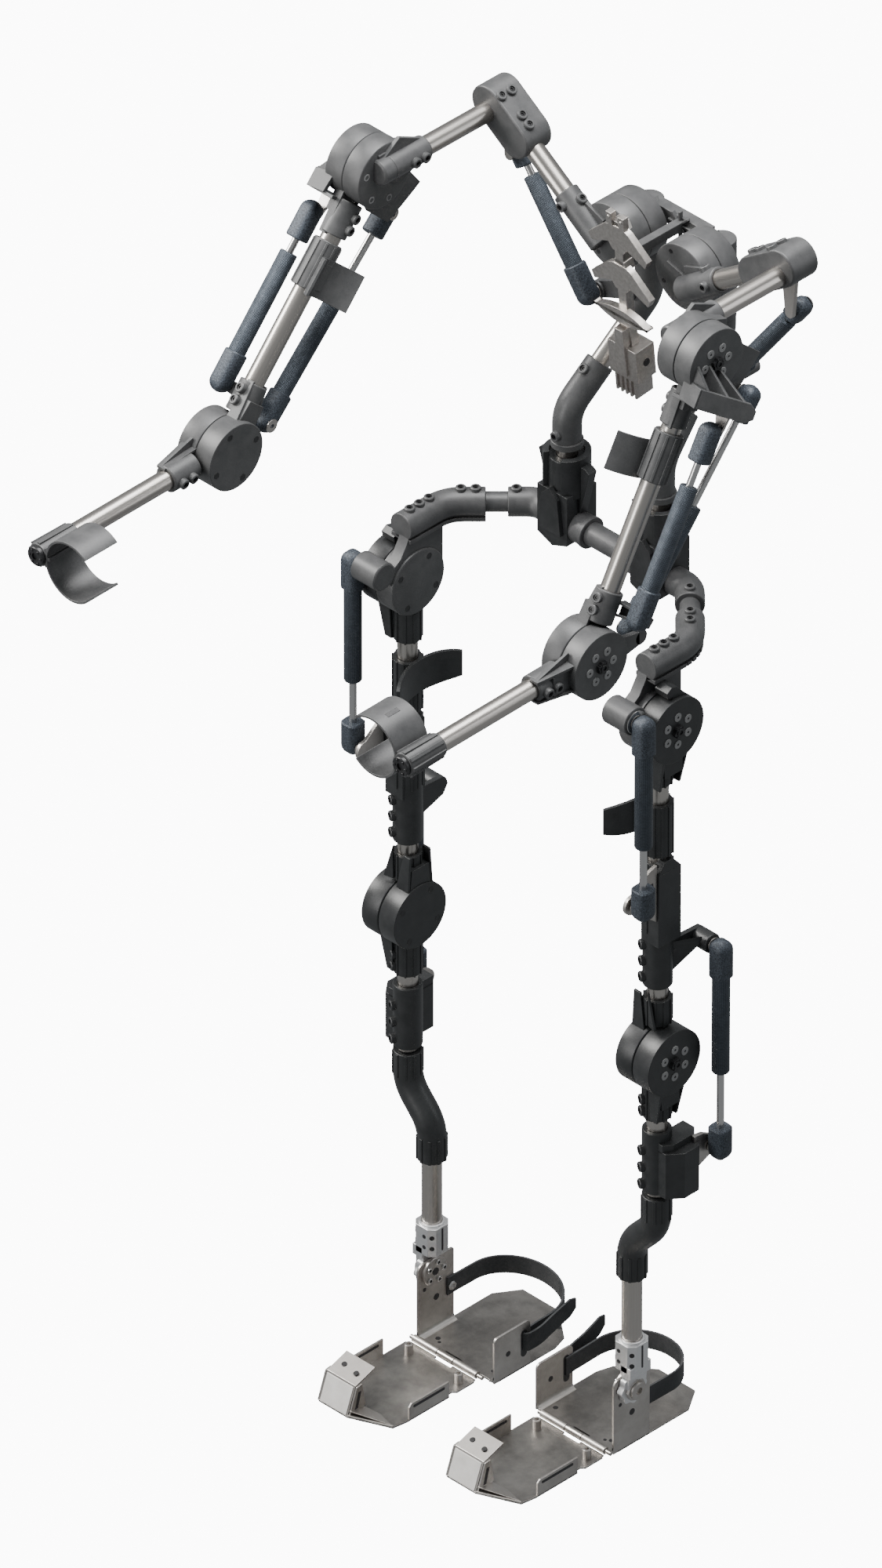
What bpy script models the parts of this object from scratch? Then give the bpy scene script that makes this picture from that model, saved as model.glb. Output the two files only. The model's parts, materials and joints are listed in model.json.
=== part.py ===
"""A wearable full-body support frame: two hinged legs with foot plates, a back frame and two hinged arms.

The legs and arms are steel tubes in moulded clamps, joined by two-part disc hinges, and spring struts bridge
the hinges. Dimensions are in millimetres in this script and become metres when a mesh is made. The wearer
faces -Y and the wearer's left is +X. Every shape is drawn for the left side and mirrored for the right.
"""

import math

import bmesh
import bpy
from mathutils import Matrix, Vector

MM = 0.001
GAP = 0.3

# Places, measured from the hip axis: x outward, y to the rear, z up.
SOLE_Z = -975.8
CENTRE_Y = -122.4
KNEE_Z = -435.0
ANKLE_Z = -894.0
TOE_HINGE = (-29.2, -969.6)
ABDUCTION = (53.9, 419.2)
SHOULDER_Y, SHOULDER_Z = 2.5, 498.3
ARM_MID_X = 246.7
UPPER_ARM = {"L": (350.0, 29.2), "R": (338.0, 41.2)}
FOREARM_ANGLE = 89.0
FOREARM_LENGTH = 272.0

# Stock sizes.
TUBE_R = 11.25
BORE_R = TUBE_R + GAP
ARM_SLEEVE_R = 13.6
LEG_SLEEVE_R = 15.9
DISC_R = 39.6
HALF = 24.8
LEG_TUBE_X = 188.3
SHIN_TUBE_X = 151.7
LEG_TUBE_Y = 2.5
HIP_DISC_X = 169.2
KNEE_DISC_X = 166.7
SPRING_R = 10.0
ROD_R = 4.0
ROD_BORE_R = 4.4
CAP_R = 11.8
CAP_HALF = 11.8
CAP_LENGTH = 30.0
ROUND = 14
COARSE = 8
PLATE = 3.0

# Strut pivots in the plane of their hinge.
HIP_STRUT_X = 218.3
HIP_STRUT_Y = -50.0
HIP_STRUT_Z = (30.0, -210.0)
KNEE_STRUT_X = 230.8
KNEE_STRUT_Y = 55.8
KNEE_STRUT_Z = (-305.8, -569.2)
ABDUCTION_STRUT_Y = 192.5
ABDUCTION_STRUT = ((106.7, 308.3), (209.2, 446.7))
ELBOW_LUG = 66.7
YOKE_LUG = (16.0, 87.5, -36.0)
LUG_CLEARANCE, LUG_THICK = 3.6, 6.4
STAY = (44.0, 6.7, -71.0, 61.3)

# Back frame.
BLOCK_X, BLOCK_Y, BLOCK_HALF = 69.6, 123.8, 22.5
ARM_Z = 70.8
RISER_TOP_Y = 231.7
LINK_Z = 436.0
HANGER_LEAN = 5.5
TUBE_A = ((65.4, 413.1), (213.0, 516.4))
TUBE_A_Y = 167.5
TUBE_B = (217.5, 510.8)

# Feet.
FOOT_IN, FOOT_OUT = 31.0, 150.0
FOOT_MID = (FOOT_IN + FOOT_OUT) / 2
TOE_MID = 97.5
WALL_FRONT, WALL_REAR = -23.0, 32.0

COLOURS = {
    "grey_nylon": ((0.115, 0.118, 0.124), 0.55, 0.0),
    "black_nylon": ((0.022, 0.024, 0.027), 0.5, 0.0),
    "steel": ((0.56, 0.53, 0.5), 0.28, 1.0),
    "blue_knurl": ((0.07, 0.1, 0.14), 0.45, 0.2),
    "plate_steel": ((0.42, 0.4, 0.38), 0.36, 1.0),
    "bright_alloy": ((0.75, 0.75, 0.76), 0.3, 1.0),
    "strap": ((0.03, 0.032, 0.036), 0.6, 0.0),
}


# --- solids: each is (points, faces) -------------------------------------------------------------------------


def frustum(start, end, radius, end_radius=None, sides=ROUND):
    """A round bar or cone from start to end."""
    start, end = Vector(start), Vector(end)
    along = (end - start).normalized()
    across = along.orthogonal().normalized()
    if abs(along.x) < 0.9:
        across = along.cross(Vector((1, 0, 0))).normalized()
    other = along.cross(across)
    points, faces = [], []
    for centre, r in ((start, radius), (end, radius if end_radius is None else end_radius)):
        for i in range(sides):
            turn = 2 * math.pi * (i + 0.5) / sides
            points.append(centre + r * (math.cos(turn) * across + math.sin(turn) * other))
    faces.append(list(range(sides)))
    faces.append(list(range(sides, 2 * sides)))
    for i in range(sides):
        j = (i + 1) % sides
        faces.append([i, j, sides + j, sides + i])
    return points, faces


def bar(low, high):
    """A box between two corners."""
    (x0, y0, z0), (x1, y1, z1) = low, high
    return slab([(x0, y0), (x1, y0), (x1, y1), (x0, y1)], "z", z0, z1)


def slab(outline, axis, low, high):
    """A flat outline carried along an axis. The outline's two numbers are the other two axes in order."""
    points = []
    for level in (low, high):
        for a, b in outline:
            points.append(Vector({"x": (level, a, b), "y": (a, level, b), "z": (a, b, level)}[axis]))
    n = len(outline)
    faces = [list(range(n)), list(range(n, 2 * n))]
    for i in range(n):
        j = (i + 1) % n
        faces.append([i, j, n + j, n + i])
    return points, faces


def pipe(route, radius, sides=ROUND):
    """A round bar with mitred bends along a route."""
    route = [Vector(p) for p in route]
    points, faces = [], []
    side = (route[1] - route[0]).orthogonal().normalized()
    for k, centre in enumerate(route):
        before = (centre - route[k - 1]).normalized() if k else (route[1] - route[0]).normalized()
        after = (route[k + 1] - centre).normalized() if k + 1 < len(route) else before
        normal = (before + after).normalized()
        side = (side - side.dot(before) * before).normalized()
        other = before.cross(side)
        for i in range(sides):
            turn = 2 * math.pi * (i + 0.5) / sides
            spoke = radius * (math.cos(turn) * side + math.sin(turn) * other)
            points.append(centre + spoke - before * (spoke.dot(normal) / before.dot(normal)))
    for k in range(len(route) - 1):
        for i in range(sides):
            j = (i + 1) % sides
            faces.append([k * sides + i, k * sides + j, (k + 1) * sides + j, (k + 1) * sides + i])
    faces.append(list(range(sides)))
    faces.append([(len(route) - 1) * sides + i for i in range(sides)])
    return points, faces


def sector(centre, radius, thick, start, end, steps):
    """The outline of a ring sector, angles in degrees."""
    turns = [math.radians(start + (end - start) * i / steps) for i in range(steps + 1)]
    outer = [(centre[0] + radius * math.cos(t), centre[1] + radius * math.sin(t)) for t in turns]
    inner = [(centre[0] + (radius - thick) * math.cos(t), centre[1] + (radius - thick) * math.sin(t))
             for t in reversed(turns)]
    return outer + inner


def disc_x(x0, x1, y, z, radius, sides=22):
    return frustum((x0, y, z), (x1, y, z), radius, sides=sides)


# --- objects -------------------------------------------------------------------------------------------------


def material(name):
    found = bpy.data.materials.get(name)
    if found:
        return found
    colour, roughness, metallic = COLOURS[name]
    made = bpy.data.materials.new(name)
    made.use_nodes = True
    made.diffuse_color = (*colour, 1.0)
    shader = made.node_tree.nodes["Principled BSDF"]
    shader.inputs["Base Color"].default_value = (*colour, 1.0)
    shader.inputs["Roughness"].default_value = roughness
    shader.inputs["Metallic"].default_value = metallic
    return made


def temporary(solid, side):
    points, faces = solid
    mesh = bpy.data.meshes.new("operand")
    work = bmesh.new()
    made = [work.verts.new((side * p[0] * MM, p[1] * MM, p[2] * MM)) for p in map(Vector, points)]
    for face in faces:
        work.faces.new([made[i] for i in face])
    bmesh.ops.recalc_face_normals(work, faces=work.faces)
    work.to_mesh(mesh)
    work.free()
    obj = bpy.data.objects.new("operand", mesh)
    bpy.context.scene.collection.objects.link(obj)
    return obj


def make(name, finish, parent, side, solids, cuts=()):
    """One closed object: the union of solids less the cuts, in the parent's coordinates."""
    base = temporary(solids[0], side)
    others = []
    for kind, group in (("UNION", solids[1:]), ("DIFFERENCE", cuts)):
        for solid in group:
            other = temporary(solid, side)
            change = base.modifiers.new("join", "BOOLEAN")
            change.operation = kind
            change.solver = "EXACT"
            change.object = other
            others.append(other)
    graph = bpy.context.evaluated_depsgraph_get()
    mesh = bpy.data.meshes.new_from_object(base.evaluated_get(graph))
    for other in [base, *others]:
        bpy.data.objects.remove(other)
    mesh.name = name
    mesh.materials.clear()
    mesh.materials.append(material(finish))
    mesh.shade_smooth()
    mesh.set_sharp_from_angle(angle=math.radians(35))
    obj = bpy.data.objects.new(name, mesh)
    bpy.context.scene.collection.objects.link(obj)
    obj.parent = parent
    return obj


def pivot(name, parent, side, place, tilt=0.0):
    """An empty on a joint's axis. tilt turns it about X, in degrees."""
    empty = bpy.data.objects.new(name, None)
    bpy.context.scene.collection.objects.link(empty)
    empty.parent = parent
    empty.location = (side * place[0] * MM, place[1] * MM, place[2] * MM)
    empty.rotation_euler = (math.radians(tilt), 0, 0)
    return empty


def local(solid, origin):
    """A solid drawn from the hip axis, moved to a pivot's own coordinates."""
    shift = Vector(origin)
    return [Vector(p) - shift for p in solid[0]], solid[1]


def placed(solids, origin):
    return [local(s, origin) for s in solids]


# --- struts --------------------------------------------------------------------------------------------------


def strut_cap(at, towards, hinge):
    """The moulded end of a strut: a knuckle across the hinge and a barrel towards the other end."""
    at, hinge = Vector(at), Vector(hinge)
    along = (Vector(towards) - at).normalized()
    knuckle = frustum(at - CAP_HALF * hinge, at + CAP_HALF * hinge, CAP_R, sides=COARSE)
    return [knuckle, frustum(at + 2 * along, at + CAP_LENGTH * along, CAP_R - 0.7, sides=COARSE)]


def spring_strut(name, parent, side, foot, head, hinge, length, plunge):
    """length: from the foot pivot to the cylinder's mouth. plunge: how deep the rod sits in it."""
    foot, head, hinge = Vector(foot), Vector(head), Vector(hinge)
    along = (head - foot).normalized()
    mouth = foot + length * along
    swing = pivot(f"{name}_pivot", parent, side, foot)
    barrel = strut_cap(foot, head, hinge) + [frustum(foot + 10 * along, mouth, SPRING_R, sides=COARSE)]
    bore = frustum(foot + (CAP_LENGTH + 2) * along, mouth + 5 * along, ROD_BORE_R, sides=COARSE)
    make(f"{name}_cylinder", "blue_knurl", swing, side, placed(barrel, foot), placed([bore], foot))
    rod = [frustum(mouth - plunge * along, head - 4 * along, ROD_R, sides=COARSE)]
    make(f"{name}_rod", "steel", swing, side, placed(rod + strut_cap(head, foot, hinge), foot))


# --- the back frame ------------------------------------------------------------------------------------------


def back_block(tag, side, root):
    x, y, h = BLOCK_X, BLOCK_Y, BLOCK_HALF
    body = slab([(x - h, 56), (x, 47), (x + h, 56), (x + h, 118), (x - h, 118)], "y", y - h, y + h)
    collar = frustum((x, y, 100), (x, y, 161.7), 26, sides=18)
    gusset = slab([(x - 38, 150), (x - h + 1, 90), (x + h - 1, 90), (x + 38, 150)], "y", y - 6, y + 8)
    socket = frustum((30, y - 4, 74), (x, y - 4, 74), 17.5)
    riser_bore = frustum((x, y, 96), (x, y, 170), BORE_R)
    tube_bore = frustum((20, y - 4, 74), (62, y - 4, 74), 13.3 + GAP)
    notch = bar((x - 6, y - 40, 128), (x + 6, y - 10, 170))
    make(f"back_block_{tag}", "black_nylon", root, side, [body, collar, gusset, socket],
         [riser_bore, tube_bore, notch])


def hip_arm(tag, side, root):
    x = 183.3
    route = [(x, -12.5, ARM_Z), (x, 52, ARM_Z), (x - 12, 71, ARM_Z), (121, 117, ARM_Z), (109, 123.8, ARM_Z),
             (BLOCK_X + BLOCK_HALF + 0.4, BLOCK_Y, ARM_Z)]
    arm = pipe(route, LEG_SLEEVE_R)
    web = slab([(39.2, 0), (39.2, 62), (-12, 62), (-24, 40), (-40, 26), (-30, -12)], "x", 171, 186)
    plate = disc_x(HIP_DISC_X, HIP_DISC_X + HALF, 0, 0, DISC_R)
    lug = disc_x(HIP_DISC_X + 1, HIP_STRUT_X - CAP_HALF - 0.6, HIP_STRUT_Y, HIP_STRUT_Z[0], 16.5, ROUND)
    make(f"hip_arm_{tag}", "grey_nylon", root, side, [plate, web, lug, arm])


def shoulder_riser(tag, side, root):
    x, y = BLOCK_X, BLOCK_Y
    top_x = ABDUCTION[0]
    slant = (top_x, RISER_TOP_Y, 320)
    tube = pipe([(x, y, 98), (x, y, 212.5), slant, (top_x, RISER_TOP_Y, 405)], TUBE_R)
    low, bend = Vector((x, y, 212.5)), Vector(slant)
    knee = pipe([(x, y, 172), low, low.lerp(bend, 0.42)], 16.2)
    clamp = frustum((top_x, RISER_TOP_Y, 342), (top_x, RISER_TOP_Y, 440), 16.0)
    half = frustum((top_x, 196.0, ABDUCTION[1]), (top_x, 220.8, ABDUCTION[1]), DISC_R, sides=22)
    (px, pz), _ = ABDUCTION_STRUT
    boss_y = ABDUCTION_STRUT_Y + CAP_HALF + 0.6
    outrigger = slab([(top_x, 345), (px + 8, pz + 4), (px - 2, pz - 9), (top_x, 322)], "y", boss_y + 3, boss_y + 22)
    boss = frustum((px, boss_y, pz), (px, boss_y + 22.5, pz), 10.5, sides=COARSE)
    make(f"shoulder_riser_{tag}", "grey_nylon", root, side, [tube, knee, clamp, half, outrigger, boss])


def spine_hanger(root):
    """The hanger between the shoulder discs, with the link that ties the two risers."""
    y0, y1 = 125, 131
    bar_ = slab([(-9, 275), (9, 275), (7, 490), (-7, 490)], "y", y0 + 1, y1 + 9)
    wings = [slab([(-44, z), (-40, z - 9), (0, z + 6), (40, z - 9), (44, z), (16, z + 26), (-16, z + 26)],
                  "y", y0, y1 + 2) for z in (400, 452)]
    cross = slab([(-40, 361), (0, 346), (40, 361), (0, 374)], "y", y0 - 3, y1 + 4)
    base = bar((-18, y0 - 4, 268), (18, y1 + 12, 318))
    ears = [bar((x - 4, y0 - 1, 482), (x + 4, y1 + 5, 498)) for x in (-9, 9)]
    stem = bar((-5, y1, LINK_Z - 6), (5, RISER_TOP_Y, LINK_Z + 6))
    reach = ABDUCTION[0] - 16.4
    link = bar((-reach, RISER_TOP_Y - 8, LINK_Z - 9), (reach, RISER_TOP_Y + 7, LINK_Z + 9))
    hole = frustum((-30, y0 + 6, 296), (30, y0 + 6, 296), 4, sides=COARSE)
    lean = Matrix.Translation((0, y0, 490)) @ Matrix.Rotation(math.radians(HANGER_LEAN), 4, "X")
    lean = lean @ Matrix.Translation((0, -y0, -490))
    leaning = [([lean @ Vector(p) for p in points], faces)
               for points, faces in [bar_, *wings, cross, base, *ears, hole]]
    make("spine_hanger", "bright_alloy", root, 1, [*leaning[:-1], stem, link], leaning[-1:])


def cross_tube(root):
    make("cross_tube", "grey_nylon", root, 1,
         [frustum((-60, BLOCK_Y - 4, 74), (60, BLOCK_Y - 4, 74), 13.3)])


# --- the legs ------------------------------------------------------------------------------------------------


def leg_sleeve(x, z0, z1, radius=LEG_SLEEVE_R):
    return frustum((x, LEG_TUBE_Y, z0), (x, LEG_TUBE_Y, z1), radius)


def leg_bore(x, z0, z1):
    return frustum((x, LEG_TUBE_Y, z0), (x, LEG_TUBE_Y, z1), BORE_R)


def thigh(tag, side, root):
    hip = pivot(f"hip_{tag}", root, side, (HIP_DISC_X, 0, 0))
    here = (HIP_DISC_X, 0, 0)
    x0 = HIP_DISC_X + HALF + 2 * GAP
    half = disc_x(x0, x0 + HALF, 0, 0, DISC_R)
    nose = slab([(-4, 36), (-8, 52), (4, 54), (24, 30)], "x", x0 + 1, x0 + 20)
    neck = bar((x0 + 1, -13, -58), (x0 + 20, 17, -30))
    sleeve = leg_sleeve(LEG_TUBE_X, -81, -41)
    make(f"hip_yoke_{tag}", "black_nylon", hip, side, placed([half, nose, neck, sleeve], here),
         placed([leg_bore(LEG_TUBE_X, -90, -48)], here))
    knee_x = KNEE_DISC_X
    tube = frustum((LEG_TUBE_X, LEG_TUBE_Y, -50), (LEG_TUBE_X, LEG_TUBE_Y, -380), TUBE_R)
    upper = leg_sleeve(LEG_TUBE_X, -393, -360)
    collar = bar((knee_x + 1, -13, -410), (knee_x + 22, 17, -378))
    knee_half = disc_x(knee_x, knee_x + HALF, 0, KNEE_Z, DISC_R)
    make(f"thigh_tube_{tag}", "steel", hip, side, placed([tube, upper, collar, knee_half], here))
    clip = leg_sleeve(LEG_TUBE_X, -172, -106, 16.5)
    pad = slab(sector((100, LEG_TUBE_Y), 74, 4, -40, 40, 8), "z", -152, -110)
    make(f"thigh_cuff_{tag}", "black_nylon", hip, side, placed([clip, pad], here),
         placed([leg_bore(LEG_TUBE_X, -180, -100)], here))
    thigh_spring_bracket(tag, side, hip, here)
    return hip, here


def thigh_spring_bracket(tag, side, hip, here):
    """The clamp under the cuff: it carries the lower end of the hip strut and the top of the knee strut."""
    sleeve = leg_sleeve(LEG_TUBE_X, -344, -181, 16.5)
    block = bar((LEG_TUBE_X - 8, -13, -284), (206, 19, -182))
    z = HIP_STRUT_Z[1]
    inner = HIP_STRUT_X - CAP_HALF - 0.8
    front_lug = slab([(-10, z + 13), (-60, z + 10), (-62, z - 8), (-10, z - 26)], "x", inner - 6, inner)
    z = KNEE_STRUT_Z[0]
    inner = KNEE_STRUT_X - CAP_HALF - 0.8
    arm = slab([(4, z + 14), (60, z + 11), (66, z), (60, z - 11), (4, z - 30)], "x", LEG_TUBE_X + 4, LEG_TUBE_X + 12)
    boss = disc_x(LEG_TUBE_X + 5, inner, KNEE_STRUT_Y, z, 11.5, COARSE)
    make(f"thigh_spring_bracket_{tag}", "black_nylon", hip, side,
         placed([sleeve, block, front_lug, arm, boss], here), placed([leg_bore(LEG_TUBE_X, -350, -175)], here))


def shank(tag, side, hip):
    knee = pivot(f"knee_{tag}", hip, side, (KNEE_DISC_X - HIP_DISC_X, 0, KNEE_Z))
    here = (KNEE_DISC_X, 0, KNEE_Z)
    x0 = KNEE_DISC_X + HALF + 2 * GAP
    half = disc_x(x0, x0 + HALF, 0, KNEE_Z, DISC_R)
    neck = bar((x0 + 1, -13, KNEE_Z - 58), (x0 + 19, 17, KNEE_Z - 30))
    sleeve = leg_sleeve(LEG_TUBE_X, KNEE_Z - 83, KNEE_Z - 41.5)
    make(f"knee_lower_{tag}", "black_nylon", knee, side, placed([half, neck, sleeve], here),
         placed([leg_bore(LEG_TUBE_X, KNEE_Z - 90, KNEE_Z - 48)], here))
    y = LEG_TUBE_Y
    tube = frustum((LEG_TUBE_X, y, KNEE_Z - 50), (LEG_TUBE_X, y, -635), TUBE_R)
    bend = pipe([(LEG_TUBE_X, y, -622), (LEG_TUBE_X, y, -658), (LEG_TUBE_X - 4, y, -667),
                 (SHIN_TUBE_X + 4, y, -698), (SHIN_TUBE_X, y, -707), (SHIN_TUBE_X, y, -747.5)], 16.2)
    shin = frustum((SHIN_TUBE_X, y, -740), (SHIN_TUBE_X, y, -858), TUBE_R)
    clamp = leg_sleeve(LEG_TUBE_X, -614, -534, 16.2)
    block = slab([(LEG_TUBE_X, -8), (214, -8), (225, 12), (225, 30), (214, 41), (LEG_TUBE_X, 41)],
                 "z", -613, -546)
    z = KNEE_STRUT_Z[1]
    inner = KNEE_STRUT_X - CAP_HALF - 0.8
    plate = slab([(34, z + 14), (64, z + 11), (68, z), (62, z - 12), (34, z - 14)], "x", inner - 6, inner)
    make(f"shank_tube_{tag}", "steel", knee, side, placed([tube, clamp, block, plate, bend, shin], here))
    x = SHIN_TUBE_X
    block = slab([(x - 16, y - 10), (x - 10, y - 16), (x + 10, y - 16), (x + 16, y - 10), (x + 16, y + 10),
                  (x + 10, y + 16), (x - 10, y + 16), (x - 16, y + 10)], "z", -865, -827.5)
    cheek = slab([(-12, -862), (17, -862), (15, ANKLE_Z), (-12, ANKLE_Z)], "x", FOOT_OUT + 0.5, FOOT_OUT + 13)
    hub = disc_x(FOOT_OUT + 0.4, FOOT_OUT + 12, 0, ANKLE_Z, 17.5, ROUND)
    make(f"ankle_clamp_{tag}", "bright_alloy", knee, side, placed([block, cheek, hub], here),
         placed([leg_bore(x, -860, -820)], here))
    return knee


def foot(tag, side, knee):
    here = (FOOT_OUT, 0, ANKLE_Z)
    ankle = pivot(f"ankle_{tag}", knee, side, (FOOT_OUT - KNEE_DISC_X, 0, ANKLE_Z - KNEE_Z))
    top = SOLE_Z + PLATE
    front, rear = WALL_FRONT, WALL_REAR
    base = slab([(FOOT_IN, -20), (FOOT_OUT, -20), (FOOT_OUT, 92), (130, 121), (76, 121), (FOOT_IN + 6, 88)],
                "z", SOLE_Z, top)
    inner = slab([(front, SOLE_Z + 0.5), (rear, SOLE_Z + 0.5), (rear, -921), (rear - 5, -916), (front + 5, -916),
                  (front, -921)], "x", FOOT_IN + 0.01, FOOT_IN + PLATE)
    outer = slab([(front, SOLE_Z + 0.5), (rear, SOLE_Z + 0.5), (rear, -884), (rear - 5, -879), (front + 7, -879),
                  (front, -886)], "x", FOOT_OUT - PLATE, FOOT_OUT - 0.01)
    hub = disc_x(FOOT_OUT - PLATE - 3, FOOT_OUT - 1, 0, ANKLE_Z, 17.5, ROUND)
    hy, hz = TOE_HINGE
    rod = disc_x(TOE_MID - 55, TOE_MID + 55, hy, hz, 2.5, COARSE)
    leaf = bar((TOE_MID - 12, hy - 0.5, SOLE_Z + 0.2), (TOE_MID + 12, -18, top - 0.2))
    knuckle = disc_x(TOE_MID - 12, TOE_MID + 12, hy, hz, 4.4, COARSE)
    make(f"heel_plate_{tag}", "plate_steel", ankle, side,
         placed([base, inner, outer, hub, knuckle, leaf, rod], here))
    mid, wide = FOOT_MID, FOOT_OUT - FOOT_MID - PLATE - 0.6
    turns = [math.pi * i / 12 for i in range(13)]
    path = [(mid + wide, 20)] + [(mid + wide * math.cos(t), 66 + 52 * math.sin(t)) for t in turns]
    path.append((mid - wide, 20))
    thin = wide - 3
    back = [(mid - thin, 20)] + [(mid + thin * math.cos(t), 66 + 49 * math.sin(t)) for t in reversed(turns)]
    back.append((mid + thin, 20))
    make(f"foot_strap_{tag}", "strap", ankle, side, placed([slab(path + back, "z", -943, -918)], here))
    toes(tag, side, ankle, here)


def toes(tag, side, ankle, ankle_at):
    """The toe plate has one shape for both feet, so its x runs the same way on the left and the right."""
    hy, hz = TOE_HINGE
    here = (TOE_MID, hy, hz)
    hinge = pivot(f"toe_{tag}", ankle, side, [a - b for a, b in zip(here, ankle_at)])
    top = SOLE_Z + PLATE
    left, right = -56.0, 49.0
    base = slab([(left, -36), (right, -36), (right, -140), (46, -157), (-3, -178), (-46.5, -178), (left, -140)],
                "z", SOLE_Z, top)
    solids, cuts = [base], []
    for low, high in ((left + 6, -12.6), (12.6, right - 2)):
        solids.append(bar((low, -38, SOLE_Z + 0.2), (high, hy + 1, top - 0.2)))
        solids.append(disc_x(low, high, hy, hz, 4.4, COARSE))
        cuts.append(disc_x(low - 1, high + 1, hy, hz, 2.9, COARSE))
    cap = [(-177.5, SOLE_Z + 1), (-164, SOLE_Z + 36), (-135, SOLE_Z + 46), (-134.5, SOLE_Z + 43),
           (-162, SOLE_Z + 33), (-174, SOLE_Z + 1)]
    solids.append(slab(cap, "x", -46.5, -3))
    cheek = [(-176.5, SOLE_Z + 1), (-140, SOLE_Z + 1), (-156, SOLE_Z + 37.5), (-163, SOLE_Z + 35.4)]
    solids.append(slab(cheek, "x", -48, -45.5))
    solids.append(slab(cheek, "x", -4, -1.5))
    solids.append(bar((left + 0.01, -121, SOLE_Z + 0.5), (left + 2.5, -72, SOLE_Z + 25)))
    solids.append(bar((right - 2.5, -135, SOLE_Z + 0.5), (right - 0.01, -74, SOLE_Z + 22)))
    for x in (-38, 38):
        solids.append(frustum((x, -49, SOLE_Z + 1), (x, -49, SOLE_Z + 15), 5, sides=COARSE))
    drawn = [[([Vector((TOE_MID + side * p[0], p[1], p[2])) for p in map(Vector, points)], faces)
              for points, faces in group] for group in (solids, cuts)]
    make(f"toe_plate_{tag}", "plate_steel", hinge, side, placed(drawn[0], here), placed(drawn[1], here))


def leg(tag, side, root):
    hip, here = thigh(tag, side, root)
    knee = shank(tag, side, hip)
    foot(tag, side, knee)
    x, y = HIP_STRUT_X, HIP_STRUT_Y
    spring_strut(f"hip_spring_{tag}", root, side, (x, y, HIP_STRUT_Z[0]), (x, y, HIP_STRUT_Z[1]),
                 (1, 0, 0), 156.0, 68.0)
    x, y = KNEE_STRUT_X, KNEE_STRUT_Y
    top = Vector((x, y, KNEE_STRUT_Z[0]))
    knee_swing = pivot(f"knee_strut_frame_{tag}", root, side, (0, 0, 0))
    spring_strut(f"knee_spring_{tag}", knee_swing, side, top, (x, y, KNEE_STRUT_Z[1]), (1, 0, 0), 160.0, 60.0)


# --- the arms ------------------------------------------------------------------------------------------------


def abduction(tag, side, root):
    """The front half of the abduction hinge, the bent shoulder link and its strut."""
    x, z = ABDUCTION
    here = (x, TUBE_A_Y, z)
    hinge = pivot(f"abduction_{tag}", root, side, here)
    half = frustum((x, 170.8, z), (x, 195.4, z), DISC_R, sides=22)
    start = Vector((TUBE_A[0][0], TUBE_A_Y, TUBE_A[0][1]))
    end = Vector((TUBE_A[1][0], TUBE_A_Y, TUBE_A[1][1]))
    along = (end - start).normalized()
    sleeve = frustum(start - 6 * along, start + 62 * along, ARM_SLEEVE_R + 1)
    bore = frustum(start + 6 * along, start + 80 * along, BORE_R)
    make(f"abduction_clamp_{tag}", "grey_nylon", hinge, side, placed([half, sleeve], here),
         placed([bore], here))
    tube_a = frustum(start + 8 * along, end, TUBE_R)
    across = Vector((-along.z, 0, along.x))
    centre = Vector((198.3, TUBE_A_Y, 506.1))
    reach = [(math.cos(math.radians(a)), math.sin(math.radians(a))) for a in range(-90, 91, 30)]
    outline = [centre + (24 + 22 * c) * along + 22 * s * across for c, s in reach]
    outline += [centre - (24 + 22 * c) * along - 22 * s * across for c, s in reach]
    corner = slab([(p.x, p.z) for p in outline], "y", 150, 188.3)
    bx, bz = TUBE_B
    tube_b = frustum((bx, 160, bz), (bx, 2, bz), TUBE_R)
    sleeve_b = frustum((bx, 50, bz), (bx, -16, bz), ARM_SLEEVE_R + 1)
    web = bar((bx, -20, bz - 10), (ARM_MID_X - 6, 28, bz + 6))
    inner_half = disc_x(ARM_MID_X - 0.2 - HALF, ARM_MID_X - 0.2, SHOULDER_Y, SHOULDER_Z, DISC_R)
    (px, pz) = ABDUCTION_STRUT[1]
    lug_y = ABDUCTION_STRUT_Y - CAP_HALF - 0.8
    lug = slab([(px - 16, pz + 62), (px - 9, pz - 10), (px + 9, pz - 10), (px + 16, pz + 62)],
               "y", lug_y - 8, lug_y)
    make(f"shoulder_link_{tag}", "steel", hinge, side,
         placed([corner, tube_a, tube_b, sleeve_b, web, inner_half, lug], here))
    (ax, az), (bx, bz) = ABDUCTION_STRUT
    spring_strut(f"abduction_spring_{tag}", root, side, (ax, ABDUCTION_STRUT_Y, az),
                 (bx, ABDUCTION_STRUT_Y, bz), (0, 1, 0), 128.0, 78.0)
    return hinge, here


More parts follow.
